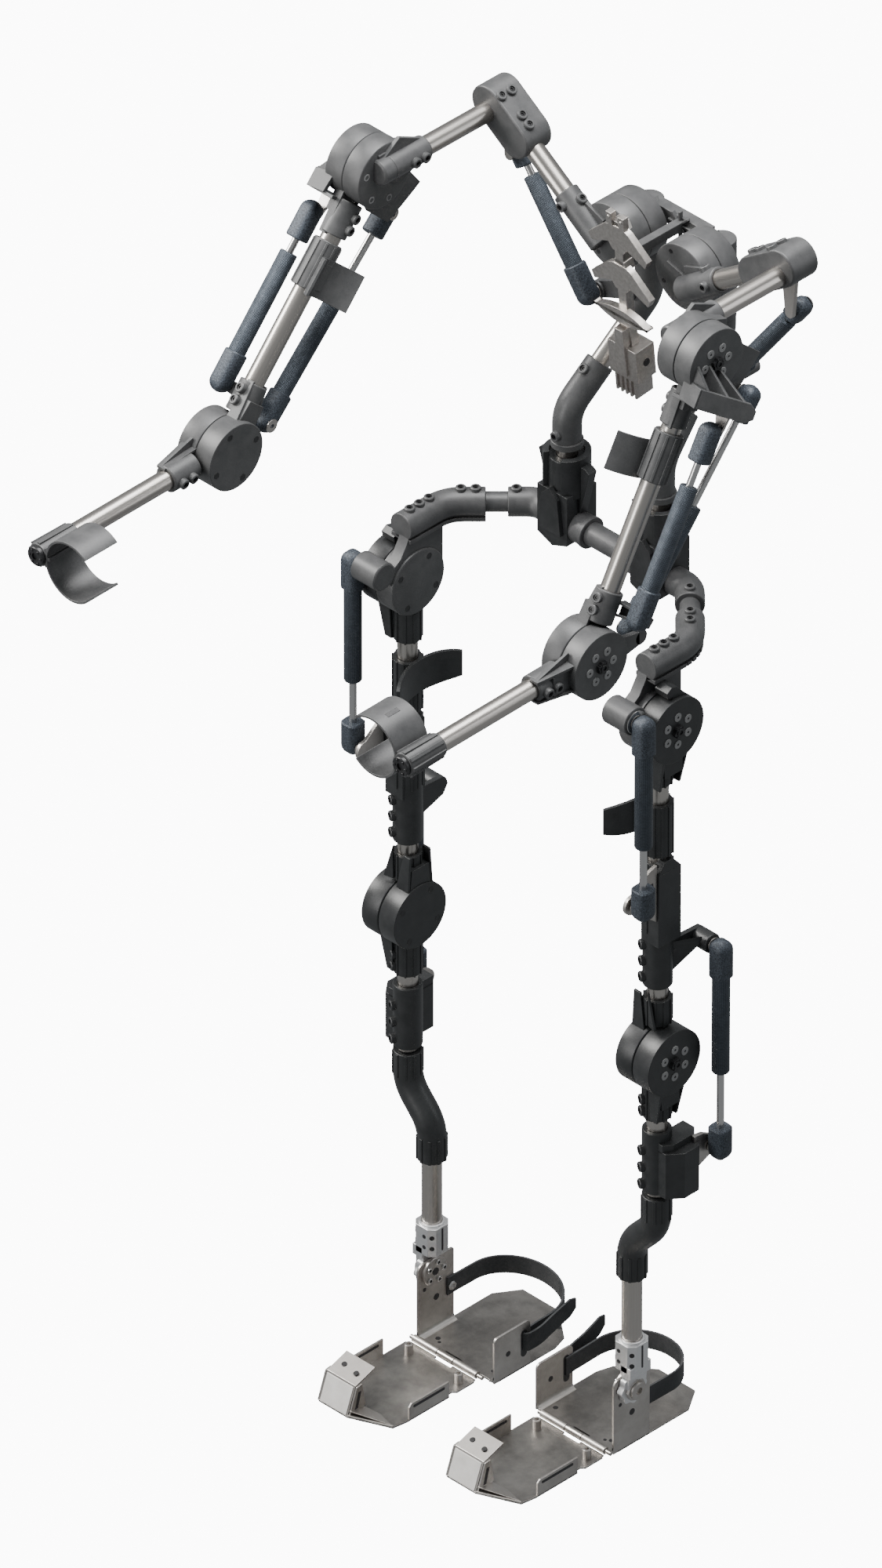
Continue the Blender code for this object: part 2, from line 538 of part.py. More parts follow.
def upper_arm(tag, side, hinge, hinge_at):
    length, tilt = UPPER_ARM[tag]
    at = (ARM_MID_X, SHOULDER_Y, SHOULDER_Z)
    shoulder = pivot(f"shoulder_{tag}", hinge, side, [a - b for a, b in zip(at, hinge_at)], -tilt)
    half = disc_x(0.4, HALF + 0.2, 0, 0, DISC_R)
    neck = bar((1, -13, -60), (20, 13, -30))
    sleeve = frustum((0, 0, -82), (0, 0, -41.5), LEG_SLEEVE_R)
    bore = frustum((0, 0, -90), (0, 0, -48), BORE_R)
    plate = slab([(6, -22), (50, -22), (50, 30), (39, 74), (32, 74), (32, 54), (6, 30)], "z", -48, -40)
    ribs = [bar((8, y - 2, -46), (HALF - 1, y + 2, -30)) for y in (-18, 18)]
    dx, dy, dz = YOKE_LUG
    lug = slab([(dy - 24, -47), (dy + 8, dz - 9), (dy + 10, dz + 8), (dy - 24, -41)], "x",
               dx + CAP_HALF + LUG_CLEARANCE, dx + CAP_HALF + LUG_CLEARANCE + LUG_THICK)
    sx, sy, sz, _ = STAY
    ear = slab([(sx - 12, -42), (sx + 5, -42), (sx + 6, sz - 7), (sx - 6, sz - 7)], "y",
               sy + CAP_HALF + 0.6, sy + CAP_HALF + 7)
    make(f"shoulder_yoke_{tag}", "grey_nylon", shoulder, side, [half, neck, sleeve, plate, *ribs, lug, ear],
         [bore])
    tube = frustum((0, 0, -50), (0, 0, 60 - length), TUBE_R)
    clamp = frustum((0, 0, 76 - length), (0, 0, 41.5 - length), LEG_SLEEVE_R)
    collar = bar((-20, -13, 30 - length), (-1, 13, 56 - length))
    elbow_half = disc_x(-0.2 - HALF, -0.2, 0, -length, DISC_R)
    foot_z = STAY[3] - length
    stay_lug = slab([(6, foot_z - 8), (sx + 8, foot_z - 8), (sx + 8, foot_z + 8), (6, foot_z + 8)], "y",
                    sy + CAP_HALF + 0.6, sy + CAP_HALF + 7)
    make(f"upper_arm_tube_{tag}", "steel", shoulder, side, [tube, clamp, collar, elbow_half,
                                                            stay_lug, bar((5, 0, foot_z - 7), (13, sy + 20, foot_z + 7))])
    clip = frustum((0, 0, -134), (0, 0, -92), 16.5)
    pad = slab(sector((-58, 0), 46, 3.5, -62, 62, 10), "z", -146, -104)
    brace = bar((-16, -8, -130), (-9, 8, -108))
    make(f"upper_arm_cuff_{tag}", "grey_nylon", shoulder, side, [clip, brace, pad],
         [frustum((0, 0, -140), (0, 0, -80), BORE_R)])
    stay(tag, side, shoulder, length)
    return shoulder, length, tilt


def stay(tag, side, shoulder, length):
    """The strut along the outside of the upper arm."""
    sx, sy, sz, rise = STAY
    foot_at, head = Vector((sx, sy, rise - length)), Vector((sx, sy, sz))
    up = (head - foot_at).normalized()
    solids = strut_cap(foot_at, head, (0, 1, 0)) + strut_cap(head, foot_at, (0, 1, 0))
    solids.append(frustum(foot_at + 10 * up, foot_at + 150 * up, SPRING_R, sides=COARSE))
    solids.append(frustum(foot_at + 140 * up, head - 5 * up, ROD_R, sides=COARSE))
    make(f"arm_stay_{tag}", "blue_knurl", shoulder, side, solids)


def forearm(tag, side, shoulder, length, tilt):
    elbow = pivot(f"elbow_{tag}", shoulder, side, (0, 0, -length), tilt - FOREARM_ANGLE)
    half = disc_x(0.4, HALF + 0.2, 0, 0, DISC_R)
    neck = bar((1, -13, -60), (20, 13, -30))
    sleeve = frustum((0, 0, -78), (0, 0, -41.5), LEG_SLEEVE_R)
    tube = frustum((0, 0, -70), (0, 0, 30 - FOREARM_LENGTH), TUBE_R)
    rear = slab([(-12, 30), (12, 30), (9, ELBOW_LUG + 8), (-9, ELBOW_LUG + 8)], "x", CAP_HALF + 0.8, CAP_HALF + 9)
    make(f"forearm_tube_{tag}", "steel", elbow, side, [half, neck, sleeve, tube, rear])
    end = -FOREARM_LENGTH
    clip = frustum((0, 0, end), (0, 0, end + 52), 14.5)
    bore = frustum((0, 0, end + 28), (0, 0, end + 60), BORE_R)
    shell = slab(sector((-47, 0), 37, 3, -130, 130, 14), "z", end + 4, end + 48)
    make(f"wrist_cuff_{tag}", "grey_nylon", elbow, side, [clip, shell], [bore])
    return elbow


def elbow_strut(tag, side, elbow, length, tilt):
    """The strut from the forearm's rear lug to the yoke. Its place is found in the elbow's coordinates."""
    bend = math.radians(FOREARM_ANGLE - tilt)
    dx, dy, dz = YOKE_LUG
    up = dz + length
    head = (dx, dy * math.cos(bend) - up * math.sin(bend), dy * math.sin(bend) + up * math.cos(bend))
    spring_strut(f"elbow_spring_{tag}", elbow, side, (0, 0, ELBOW_LUG), head, (1, 0, 0), 150.0, 78.0)


def arm(tag, side, root):
    hinge, hinge_at = abduction(tag, side, root)
    shoulder, length, tilt = upper_arm(tag, side, hinge, hinge_at)
    elbow = forearm(tag, side, shoulder, length, tilt)
    elbow_strut(tag, side, elbow, length, tilt)


def main():
    for old in list(bpy.data.objects):
        bpy.data.objects.remove(old)
    root = bpy.data.objects.new("hip_axis", None)
    bpy.context.scene.collection.objects.link(root)
    root.location = (0, -CENTRE_Y * MM, -SOLE_Z * MM)
    spine_hanger(root)
    cross_tube(root)
    for tag, side in (("L", 1), ("R", -1)):
        back_block(tag, side, root)
        hip_arm(tag, side, root)
        shoulder_riser(tag, side, root)
        leg(tag, side, root)
        arm(tag, side, root)


main()
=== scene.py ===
"""The looks of the wearable frame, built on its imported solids. Millimetres until a mesh is made."""

import json
import math

import bmesh
import bpy
from mathutils import Matrix, Vector


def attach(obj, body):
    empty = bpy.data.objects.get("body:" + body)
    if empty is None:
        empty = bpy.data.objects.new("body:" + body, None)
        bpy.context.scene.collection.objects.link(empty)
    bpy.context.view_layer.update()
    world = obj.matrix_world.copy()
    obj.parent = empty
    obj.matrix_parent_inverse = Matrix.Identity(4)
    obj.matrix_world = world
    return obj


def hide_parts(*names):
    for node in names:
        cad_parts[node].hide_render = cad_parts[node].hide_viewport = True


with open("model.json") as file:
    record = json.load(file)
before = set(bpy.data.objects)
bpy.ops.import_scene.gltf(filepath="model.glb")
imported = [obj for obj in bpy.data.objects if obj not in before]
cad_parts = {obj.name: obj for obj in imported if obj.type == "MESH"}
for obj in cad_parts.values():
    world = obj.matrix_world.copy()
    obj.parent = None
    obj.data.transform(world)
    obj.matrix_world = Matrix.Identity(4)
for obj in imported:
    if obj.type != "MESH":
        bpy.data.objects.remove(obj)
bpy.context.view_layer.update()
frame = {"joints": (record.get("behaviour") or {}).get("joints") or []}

MM = 0.001
TUBE_R = 11.25
CLAMP_BORE = TUBE_R + 0.3
SLEEVE_R = 15.9
DISC_R, DISC_T = 39.6, 24.8
SHEET = 2.6
TOE_HINGE_Y, TOE_HINGE_Z = -29.2, -969.6
STRUT_HEADS = {"hip": (218.3, -50, -210), "knee": (230.8, 55.8, -569.2),
               "abduction": (209.2, 192.5, 446.7)}
X, Y, Z = (1, 0, 0), (0, 1, 0), (0, 0, 1)
ROUND = 48
SIDES = (("L", 1), ("R", -1))
JOINTS = {j["name"]: j for j in frame["joints"]}


def joint_at(name):
    return Vector(JOINTS[name]["pos_m"]) / MM


HIP = Vector((0, *joint_at("hip_L")[1:]))


def from_hip(name):
    """A joint's place measured from the hip axis, on the left side."""
    place = joint_at(name) - HIP
    return Vector((abs(place.x), place.y, place.z))


KNEE_Z = from_hip("knee_L").z
ANKLE_Z = from_hip("ankle_L").z
ABDUCTION = from_hip("abduction_L")
SHOULDER = from_hip("shoulder_L")
SOLE_Z = -HIP.z
HIP_X, KNEE_X, LEG_X, SHIN_X, LEG_Y = 169.2, 166.7, 188.3, 151.7, 2.5
FOREARM_ANGLE = 89.0


# --- materials ------------------------------------------------------------------------------------


def shader_of(name):
    mat = bpy.data.materials.new(name)
    mat.use_nodes = True
    return mat, mat.node_tree, mat.node_tree.nodes["Principled BSDF"]


def add(tree, kind, **inputs):
    node = tree.nodes.new(kind)
    for key, value in inputs.items():
        node.inputs[key.replace("_", " ")].default_value = value
    return node


def coordinates(tree, scale=(1, 1, 1)):
    source = tree.nodes.new("ShaderNodeTexCoord")
    mapping = add(tree, "ShaderNodeMapping", Scale=scale)
    tree.links.new(source.outputs["Object"], mapping.inputs["Vector"])
    return mapping.outputs["Vector"]


def noise(tree, vector, scale, detail=3.0, roughness=0.6):
    node = add(tree, "ShaderNodeTexNoise", Scale=scale, Detail=detail, Roughness=roughness)
    tree.links.new(vector, node.inputs["Vector"])
    return node.outputs["Fac"]


def ramp(tree, fac, low, high, start=0.3, end=0.7):
    node = tree.nodes.new("ShaderNodeValToRGB")
    node.color_ramp.elements[0].position = start
    node.color_ramp.elements[1].position = end
    node.color_ramp.elements[0].color = (*low, 1)
    node.color_ramp.elements[1].color = (*high, 1)
    tree.links.new(fac, node.inputs["Fac"])
    return node.outputs["Color"]


def spread(tree, fac, low, high):
    node = add(tree, "ShaderNodeMapRange")
    node.inputs["To Min"].default_value = low
    node.inputs["To Max"].default_value = high
    tree.links.new(fac, node.inputs["Value"])
    return node.outputs["Result"]


def bump(tree, shader, height, strength, distance):
    node = add(tree, "ShaderNodeBump", Strength=strength, Distance=distance)
    tree.links.new(height, node.inputs["Height"])
    tree.links.new(node.outputs["Normal"], shader.inputs["Normal"])


def nylon(name, dark, light, rough=0.5):
    """Moulded glass-filled nylon: a fine grain, faint mottling and a soft shine."""
    mat, tree, shader = shader_of(name)
    mottled = noise(tree, coordinates(tree), 60, 4)
    tree.links.new(ramp(tree, mottled, dark, light), shader.inputs["Base Color"])
    tree.links.new(spread(tree, mottled, rough - 0.06, rough + 0.08), shader.inputs["Roughness"])
    shader.inputs["Specular IOR Level"].default_value = 0.55
    bump(tree, shader, noise(tree, coordinates(tree), 1800, 2), 0.25, 0.0002)
    return mat


def brushed(name, dark, light, rough, stretch=(260, 260, 3), grain=0.08):
    """Drawn or brushed metal: fine lines along local Z."""
    mat, tree, shader = shader_of(name)
    lines = noise(tree, coordinates(tree, stretch), 4, 5, 0.7)
    tree.links.new(ramp(tree, lines, dark, light, 0.25, 0.75), shader.inputs["Base Color"])
    tree.links.new(spread(tree, lines, rough - 0.05, rough + 0.07), shader.inputs["Roughness"])
    shader.inputs["Metallic"].default_value = 1.0
    bump(tree, shader, lines, grain, 0.0002)
    return mat


def knurled(name):
    """A diamond knurl cut round local Z, paler on its crests."""
    mat, tree, shader = shader_of(name)
    source = tree.nodes.new("ShaderNodeTexCoord")
    split = tree.nodes.new("ShaderNodeSeparateXYZ")
    tree.links.new(source.outputs["Object"], split.inputs[0])

    def maths(kind, a, b=None):
        node = tree.nodes.new("ShaderNodeMath")
        node.operation = kind
        for socket, value in zip(node.inputs, (a, b)):
            if value is None:
                continue
            if isinstance(value, (int, float)):
                socket.default_value = value
            else:
                tree.links.new(value, socket)
        return node.outputs[0]

    turn = maths("MULTIPLY", maths("ARCTAN2", split.outputs["Y"], split.outputs["X"]), KNURL_ROUND)
    rise = maths("MULTIPLY", split.outputs["Z"], KNURL_RISE)
    cross = maths("MULTIPLY", maths("SINE", maths("ADD", turn, rise)),
                  maths("SINE", maths("SUBTRACT", turn, rise)))
    worn = noise(tree, coordinates(tree), 90, 4)
    height = maths("ADD", maths("MULTIPLY", cross, 0.5), 0.5)
    tree.links.new(ramp(tree, maths("MULTIPLY", height, maths("ADD", worn, 0.45)), (0.012, 0.015, 0.02),
                        (0.11, 0.132, 0.16), 0.15, 0.95), shader.inputs["Base Color"])
    shader.inputs["Roughness"].default_value = 0.42
    shader.inputs["Metallic"].default_value = 0.55
    bump(tree, shader, height, 0.7, 0.0005)
    return mat


def grained(name):
    """The struts' moulded caps: dark blue-grey with a coarse pebble."""
    mat, tree, shader = shader_of(name)
    pebble = noise(tree, coordinates(tree), 700, 3)
    tree.links.new(ramp(tree, pebble, (0.016, 0.02, 0.027), (0.085, 0.102, 0.125), 0.35, 0.7),
                   shader.inputs["Base Color"])
    shader.inputs["Roughness"].default_value = 0.5
    shader.inputs["Metallic"].default_value = 0.25
    bump(tree, shader, pebble, 0.6, 0.0006)
    return mat


def sheet_steel(name, dark, light, rough=0.33):
    """Stainless sheet that has been walked on: cloudy patches under crossing hairline scratches."""
    mat, tree, shader = shader_of(name)
    cloud = noise(tree, coordinates(tree), 14, 5, 0.65)
    one = noise(tree, coordinates(tree, (9, 420, 40)), 3, 4, 0.75)
    two = noise(tree, coordinates(tree, (380, 12, 60)), 2.5, 4, 0.75)
    mix = tree.nodes.new("ShaderNodeMath")
    mix.operation = "MULTIPLY"
    tree.links.new(one, mix.inputs[0])
    tree.links.new(two, mix.inputs[1])
    tree.links.new(ramp(tree, cloud, dark, light, 0.35, 0.68), shader.inputs["Base Color"])
    tree.links.new(spread(tree, cloud, rough + 0.1, rough - 0.06), shader.inputs["Roughness"])
    shader.inputs["Metallic"].default_value = 1.0
    bump(tree, shader, mix.outputs[0], 0.25, 0.0003)
    return mat


def leather(name, colour, edge):
    mat, tree, shader = shader_of(name)
    pores = noise(tree, coordinates(tree), 900, 3)
    worn = noise(tree, coordinates(tree), 45, 4)
    tree.links.new(ramp(tree, worn, colour, edge, 0.4, 0.85), shader.inputs["Base Color"])
    tree.links.new(spread(tree, worn, 0.5, 0.72), shader.inputs["Roughness"])
    bump(tree, shader, pores, 0.4, 0.0004)
    return mat


KNURL_ROUND, KNURL_RISE = 22.0, 2300.0
GREY = nylon("grey_nylon", (0.052, 0.053, 0.054), (0.078, 0.078, 0.079), 0.42)
BLACK = nylon("black_nylon", (0.013, 0.014, 0.0145), (0.024, 0.025, 0.026), 0.38)
TUBE = brushed("tube_steel", (0.5, 0.47, 0.435), (0.57, 0.54, 0.505), 0.28, (260, 260, 2), 0.015)
ROD = brushed("rod_steel", (0.58, 0.57, 0.56), (0.68, 0.67, 0.66), 0.22, (260, 260, 2), 0.015)
KNURL = knurled("strut_knurl")
CAP = grained("strut_cap")
PLATE = sheet_steel("foot_steel", (0.2, 0.19, 0.18), (0.5, 0.475, 0.445))
EDGE = sheet_steel("bent_steel", (0.42, 0.395, 0.37), (0.6, 0.575, 0.545), 0.36)
PALE = nylon("toe_pad", (0.62, 0.6, 0.57), (0.74, 0.72, 0.69), 0.6)
ALLOY = brushed("machined_alloy", (0.76, 0.76, 0.76), (0.82, 0.82, 0.82), 0.4, (20, 20, 120), 0.01)
SILVER = brushed("cast_silver", (0.42, 0.395, 0.37), (0.6, 0.57, 0.54), 0.34, (60, 60, 60), 0.12)
STRAP = leather("strap_leather", (0.018, 0.02, 0.022), (0.05, 0.05, 0.052))
# DARK is black oxide on the screws and hubs, and also painted shade in the holes, slots and bolt recesses it
# fills
DARK = nylon("black_oxide_and_painted_hole_shade", (0.006, 0.006, 0.007), (0.014, 0.014, 0.015), 0.35)
WASHER = nylon("washer_face", (0.2, 0.2, 0.2), (0.26, 0.26, 0.26), 0.5)


# --- solids: lists of (points, faces), in millimetres ---------------------------------------------


def basis(along):
    along = Vector(along).normalized()
    across = along.cross(Vector(X)) if abs(along.x) < 0.9 else along.cross(Vector(Z))
    across.normalize()
    return along, across, along.cross(across)


def turned(at, along, profile, sides=ROUND, closed=False):
    """A profile of (radius, distance) pairs spun about a line. closed joins its ends, for a ring."""
    along, across, other = basis(along)
    at = Vector(at)
    points, rings, faces = [], [], []
    for radius, distance in profile:
        start = len(points)
        if radius < 1e-6:
            points.append(at + distance * along)
            rings.append([start])
            continue
        for i in range(sides):
            turn = 2 * math.pi * i / sides
            points.append(at + distance * along + radius * (math.cos(turn) * across + math.sin(turn) * other))
        rings.append(list(range(start, start + sides)))
    pairs = list(zip(rings, rings[1:] + ([rings[0]] if closed else [])))
    for a, b in pairs:
        for i in range(sides):
            j = (i + 1) % sides
            corner = [a[i % len(a)], a[j % len(a)], b[j % len(b)], b[i % len(b)]]
            faces.append(list(dict.fromkeys(corner)))
    if not closed:
        faces += [ring for ring in (rings[0], rings[-1]) if len(ring) > 1]
    return [(points, [f for f in faces if len(f) > 2])]


def rod(start, end, radius, sides=ROUND, edge=0.6):
    """A round bar with broken edges."""
    start, end = Vector(start), Vector(end)
    span = (end - start).length
    return turned(start, end - start, [(radius - edge, 0), (radius, edge), (radius, span - edge),
                                       (radius - edge, span)], sides)


def ring(start, end, outer, inner, sides=ROUND, edge=0.6):
    start, end = Vector(start), Vector(end)
    span = (end - start).length
    return turned(start, end - start, [(inner, 0), (outer - edge, 0), (outer, edge), (outer, span - edge),
                                       (outer - edge, span), (inner, span)], sides, closed=True)


def skin(rings):
    """A closed body over rings of equally many points, flat at both ends."""
    n, last = len(rings[0]), len(rings) - 1
    faces = [list(range(n)), [last * n + i for i in range(n)]]
    for k in range(last):
        here, there = k * n, (k + 1) * n
        faces += [[here + i, here + (i + 1) % n, there + (i + 1) % n, there + i] for i in range(n)]
    return [([Vector(p) for loop in rings for p in loop], faces)]


def slab(outline, axis, low, high):
    """An outline in the two other axes, thick along this one."""
    at = "xyz".index(axis)
    return skin([[(*p[:at], level, *p[at:]) for p in outline] for level in (low, high)])


def bar(low, high):
    (x0, y0, z0), (x1, y1, z1) = low, high
    return slab([(x0, y0), (x1, y0), (x1, y1), (x0, y1)], "z", z0, z1)


def bend(route, radius, steps=8):
    """A route with its corners rounded."""
    route = [Vector(p) for p in route]
    smooth = [route[0]]
    for before, corner, after in zip(route, route[1:], route[2:]):
        cut = min(radius, 0.45 * (corner - before).length, 0.45 * (after - corner).length)
        a = corner + cut * (before - corner).normalized()
        b = corner + cut * (after - corner).normalized()
        for i in range(steps + 1):
            t = i / steps
            smooth.append((1 - t) ** 2 * a + 2 * t * (1 - t) * corner + t * t * b)
    return smooth + [route[-1]]


def pipe(route, radius, sides=32, edge=0.8):
    """A round bar along a smooth route, with broken ends."""
    route = [Vector(p) for p in route]
    heading = [(b - a).normalized() for a, b in zip(route, route[1:])]
    first, last = heading[0], heading[-1]
    stations = [(route[0], first, radius - edge), (route[0] + edge * first, first, radius)]
    for at, before, after in zip(route[1:], heading, heading[1:]):
        stations.append((at, (before + after).normalized(), radius))
    stations += [(route[-1] - edge * last, last, radius), (route[-1], last, radius - edge)]
    rings, across = [], first.orthogonal().normalized()
    for centre, way, r in stations:
        across = (across - across.dot(way) * way).normalized()
        other = way.cross(across)
        rings.append([centre + r * (c * across + t * other) for c, t in around(sides, 1.0)])
    return skin(rings)


def arc(centre, radius, start, end, steps=10):
    """Points on an arc, angles in degrees."""
    turns = [math.radians(start + (end - start) * i / steps) for i in range(steps + 1)]
    return [(centre[0] + radius * math.cos(t), centre[1] + radius * math.sin(t)) for t in turns]


def sector(centre, radius, thick, start, end, steps=32):
    return arc(centre, radius, start, end, steps) + arc(centre, radius - thick, end, start, steps)


def moved(solids, matrix):
    return [([matrix @ Vector(p) for p in points], faces) for points, faces in solids]


# --- pieces ---------------------------------------------------------------------------------------


class Place:
    """A coordinate frame on a body: side mirrors x, matrix carries it from the hip axis."""

    def __init__(self, tag, side, body, matrix=None):
        self.tag, self.side, self.body = tag, side, body
        self.matrix = matrix or Matrix.Identity(4)

    def world(self, point):
        p = self.matrix @ Vector(point)
        return Vector((self.side * p.x + HIP.x, p.y + HIP.y, p.z + HIP.z)) * MM

    def on(self, body):
        return Place(self.tag, self.side, body, self.matrix)

    def name(self, words):
        return f"{words}_{self.tag}" if self.tag else words


def mesh_object(name, solids, where, mat, bevel, anchor=None):
    work = bmesh.new()
    for points, faces in solids:
        made = [work.verts.new(where.world(p)) for p in points]
        for face in faces:
            work.faces.new([made[i] for i in face])
    bmesh.ops.recalc_face_normals(work, faces=work.faces)
    mesh = bpy.data.meshes.new(name)
    work.to_mesh(mesh)
    work.free()
    mesh.materials.append(mat)
    mesh.shade_smooth()
    mesh.set_sharp_from_angle(angle=math.radians(32))
    obj = bpy.data.objects.new(name, mesh)
    bpy.context.scene.collection.objects.link(obj)
    if anchor is not None:
        start, end = (where.world(p) for p in anchor)
        turn = (end - start).to_track_quat("Z", "Y").to_matrix().to_4x4()
        matrix = Matrix.Translation(start) @ turn
        mesh.transform(matrix.inverted())
        obj.matrix_world = matrix
    if bevel:
        soften = obj.modifiers.new("edges", "BEVEL")
        soften.width = bevel * MM
        soften.segments = 2
        soften.limit_method = "ANGLE"
        soften.angle_limit = math.radians(40)
        soften.use_clamp_overlap = True
        soften.harden_normals = True
    return obj


def piece(words, where, mat, solids, bevel=0.7, nodes=(), anchor=None):
    """One visible piece riding on its place's body. nodes are the solid parts it stands for."""
    obj = mesh_object(where.name(words), solids, where, mat, bevel, anchor)
    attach(obj, where.body)
    if nodes:
        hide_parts(*nodes)
    return obj


def tube(words, where, start, end, radius=TUBE_R, mat=TUBE, nodes=()):
    """An open steel tube with its lines running along it."""
    return piece(words, where, mat, ring(start, end, radius, radius - 1.6, 64, 0.4), 0, nodes, (start, end))


def boss(at, along, height=5.0):
    """The raised collar of a set screw."""
    at, along = Vector(at), Vector(along).normalized()
    return ring(at - 2.5 * along, at + height * along, 6.0, 3.5, 28, 0.8)


def socket(at, along, height=5.0):
    """The screw down inside a collar, with its hex recess."""
    at, along = Vector(at), Vector(along).normalized()
    low, face = at - 2 * along, at + (height - 1.6) * along
    return ring(low, face, 3.5, 1.8, 28, 0.2) + rod(low, face - 1.2 * along, 2.0, 6, 0.2)


def bosses(words, where, spots, mat, height=5.0):
    """Collars in the sleeve's own material, and the screws in them."""
    collars, screws = [], []
    for at, along in spots:
        collars += boss(at, along, height)
        screws += socket(at, along, height)
    piece(f"{words}_collars", where, mat, collars, 0)
    piece(f"{words}_screws", where, DARK, screws, 0)


def disc(at, along, thick=DISC_T, radius=DISC_R):
    """Half of a hinge: a drum with a soft rim."""
    profile = [(0, 0), (radius - 1.6, 0), (radius - 0.5, 0.35), (radius, 1.3), (radius, thick - 0.5),
               (radius - 0.4, thick), (0, thick)]
    return turned(at, along, profile, 96)


def around(count, radius, phase=0.0):
    turns = [2 * math.pi * (i + phase) / count for i in range(count)]
    return [(radius * math.cos(t), radius * math.sin(t)) for t in turns]


def hub_face(words, where, at, along):
    """The outer face of a hinge: six countersunk washers round a splined black hub."""
    at = Vector(at)
    along, across, other = basis(along)
    washers, heads = [], []
    for a, b in around(6, 17.5, 0.5):
        spot = at + a * across + b * other
        washers += ring(spot - 0.5 * along, spot + 0.9 * along, 5.1, 1.5, 28, 0.3)
        heads += rod(spot - 0.5 * along, spot + 0.45 * along, 1.6, 16, 0.1)
    piece(f"{words}_washers", where, WASHER, washers, 0)
    lobed = []
    for k, (a, b) in enumerate(around(24, 1.0)):
        r = 7.9 if k % 4 in (0, 1) else 6.6
        lobed.append(at + r * a * across + r * b * other)
    spline = skin([[p - 0.5 * along for p in lobed], [p + 4.2 * along for p in lobed]])
    spline += ring(at, at + 5.4 * along, 4.6, 2.6, 24, 0.3)
    for a, b in around(4, 6.1, 0.5):
        spline += rod(at + a * across + b * other, at + a * across + b * other + 5.0 * along, 1.1, 12, 0.2)
    piece(f"{words}_hub", where, DARK, spline + heads, 0.3)


def bolt_face(words, where, at, along, radius=31.0, phase=0.35):
    """The inner face of a hinge: four deep hex bolt holes, shown by dark inserts of painted shade."""
    at = Vector(at)
    along, across, other = basis(along)
    solids = []
    for a, b in around(4, radius, phase):
        spot = at + a * across + b * other
        solids += ring(spot - 0.6 * along, spot + 0.25 * along, 4.1, 2.9, 6, 0.1)
        solids += rod(spot - 0.6 * along, spot + 0.12 * along, 3.0, 6, 0.1)
    # the dark hex inserts are painted shade in the bolt holes
    piece(f"{words}_bolts", where, DARK, solids, 0)


def ribs_round(start, end, radius, count, height=1.6, width=2.6, taper=0.0):
    """Ribs along a sleeve."""
    start, end = Vector(start), Vector(end)
    along, across, other = basis(end - start)
    solids = []
    for c, t in around(count, 1.0):
        out = c * across + t * other
        aside = along.cross(out)
        solids += skin([[at + a * width / 2 * aside + (radius + b) * out
                         for a, b in ((-1, -0.8), (1, -0.8), (1, reach), (-1, reach))]
                        for at, reach in ((start, height), (end, height * (1 - taper)))])
    return solids


def fin(points, thick, normal):
    """A flat rib of any outline, thick across its normal."""
    half = Vector(normal).normalized() * thick / 2
    return skin([[Vector(p) + way * half for p in points] for way in (-1, 1)])


# --- struts ---------------------------------------------------------------------------------------


def cap_block(at, along, hinge, length=36.0, half=11.4, squareness=3.2):
    """A moulded strut end: a dome over the pivot that runs on as a rounded square sleeve."""
    at, along, hinge = Vector(at), Vector(along).normalized(), Vector(hinge).normalized()
    hinge = (hinge - hinge.dot(along) * along).normalized()
    other = along.cross(hinge)
    dome = [math.radians(a) for a in (0, 12, 25, 40, 55, 72, 90)]
    stations = [(-half * math.cos(a), math.sin(a)) for a in dome] + [(length - 1.4, 1.0), (length, 0.9)]
    rings = []
    for distance, width in stations:
        rings.append([])
        for c, t in around(ROUND, 1.0):
            corner = (abs(c) ** squareness + abs(t) ** squareness) ** (1 / squareness)
            reach = half * max(width, 0.02) / corner
            rings[-1].append(at + distance * along + reach * (c * hinge + t * other))
    return skin(rings)


def strut(name, where, foot, head, hinge, length, head_cap, nodes, bodies):
    """Knurled barrel from the foot pivot, bright rod to the head pivot."""
    foot, head, hinge = Vector(foot), Vector(head), Vector(hinge)
    along = (head - foot).normalized()
    lower, upper = where.on(bodies[0]), where.on(bodies[1])
    mouth = foot + length * along
    piece(f"{name}_foot_cap", lower, CAP, cap_block(foot, along, hinge), 0, nodes[:1])
    barrel = turned(foot + 26 * along, along, [(9, 0), (10, 1), (10, length - 27.5), (9.4, length - 26.4),
                                               (8, length - 26), (4.6, length - 26), (4.6, length - 30),
                                               (0, length - 30)], 64)
    piece(f"{name}_barrel", lower, KNURL, barrel, 0, anchor=(foot, head))
    piece(f"{name}_piston", upper, ROD, rod(mouth - 20 * along, head - 8 * along, 4.2, 32, 0.2), 0, nodes[1:],
          (mouth, head))
    piece(f"{name}_head_cap", upper, CAP, cap_block(head, -along, hinge, head_cap), 0)
    mating = hinge if hinge.y else -hinge
    for words, place, at in (("foot", lower, foot), ("head", upper, head)):
        washer = ring(at + 10.5 * mating, at + 11.8 * mating, 8, 2.5, 32, 0.3)
        piece(f"{name}_{words}_washer", place, EDGE, washer, 0)


# --- the back frame -------------------------------------------------------------------------------

BLOCK_X, BLOCK_Y, BLOCK_H = 69.6, 123.8, 22.5
ARM_Z = 70.8
LINK_Z = 436.0


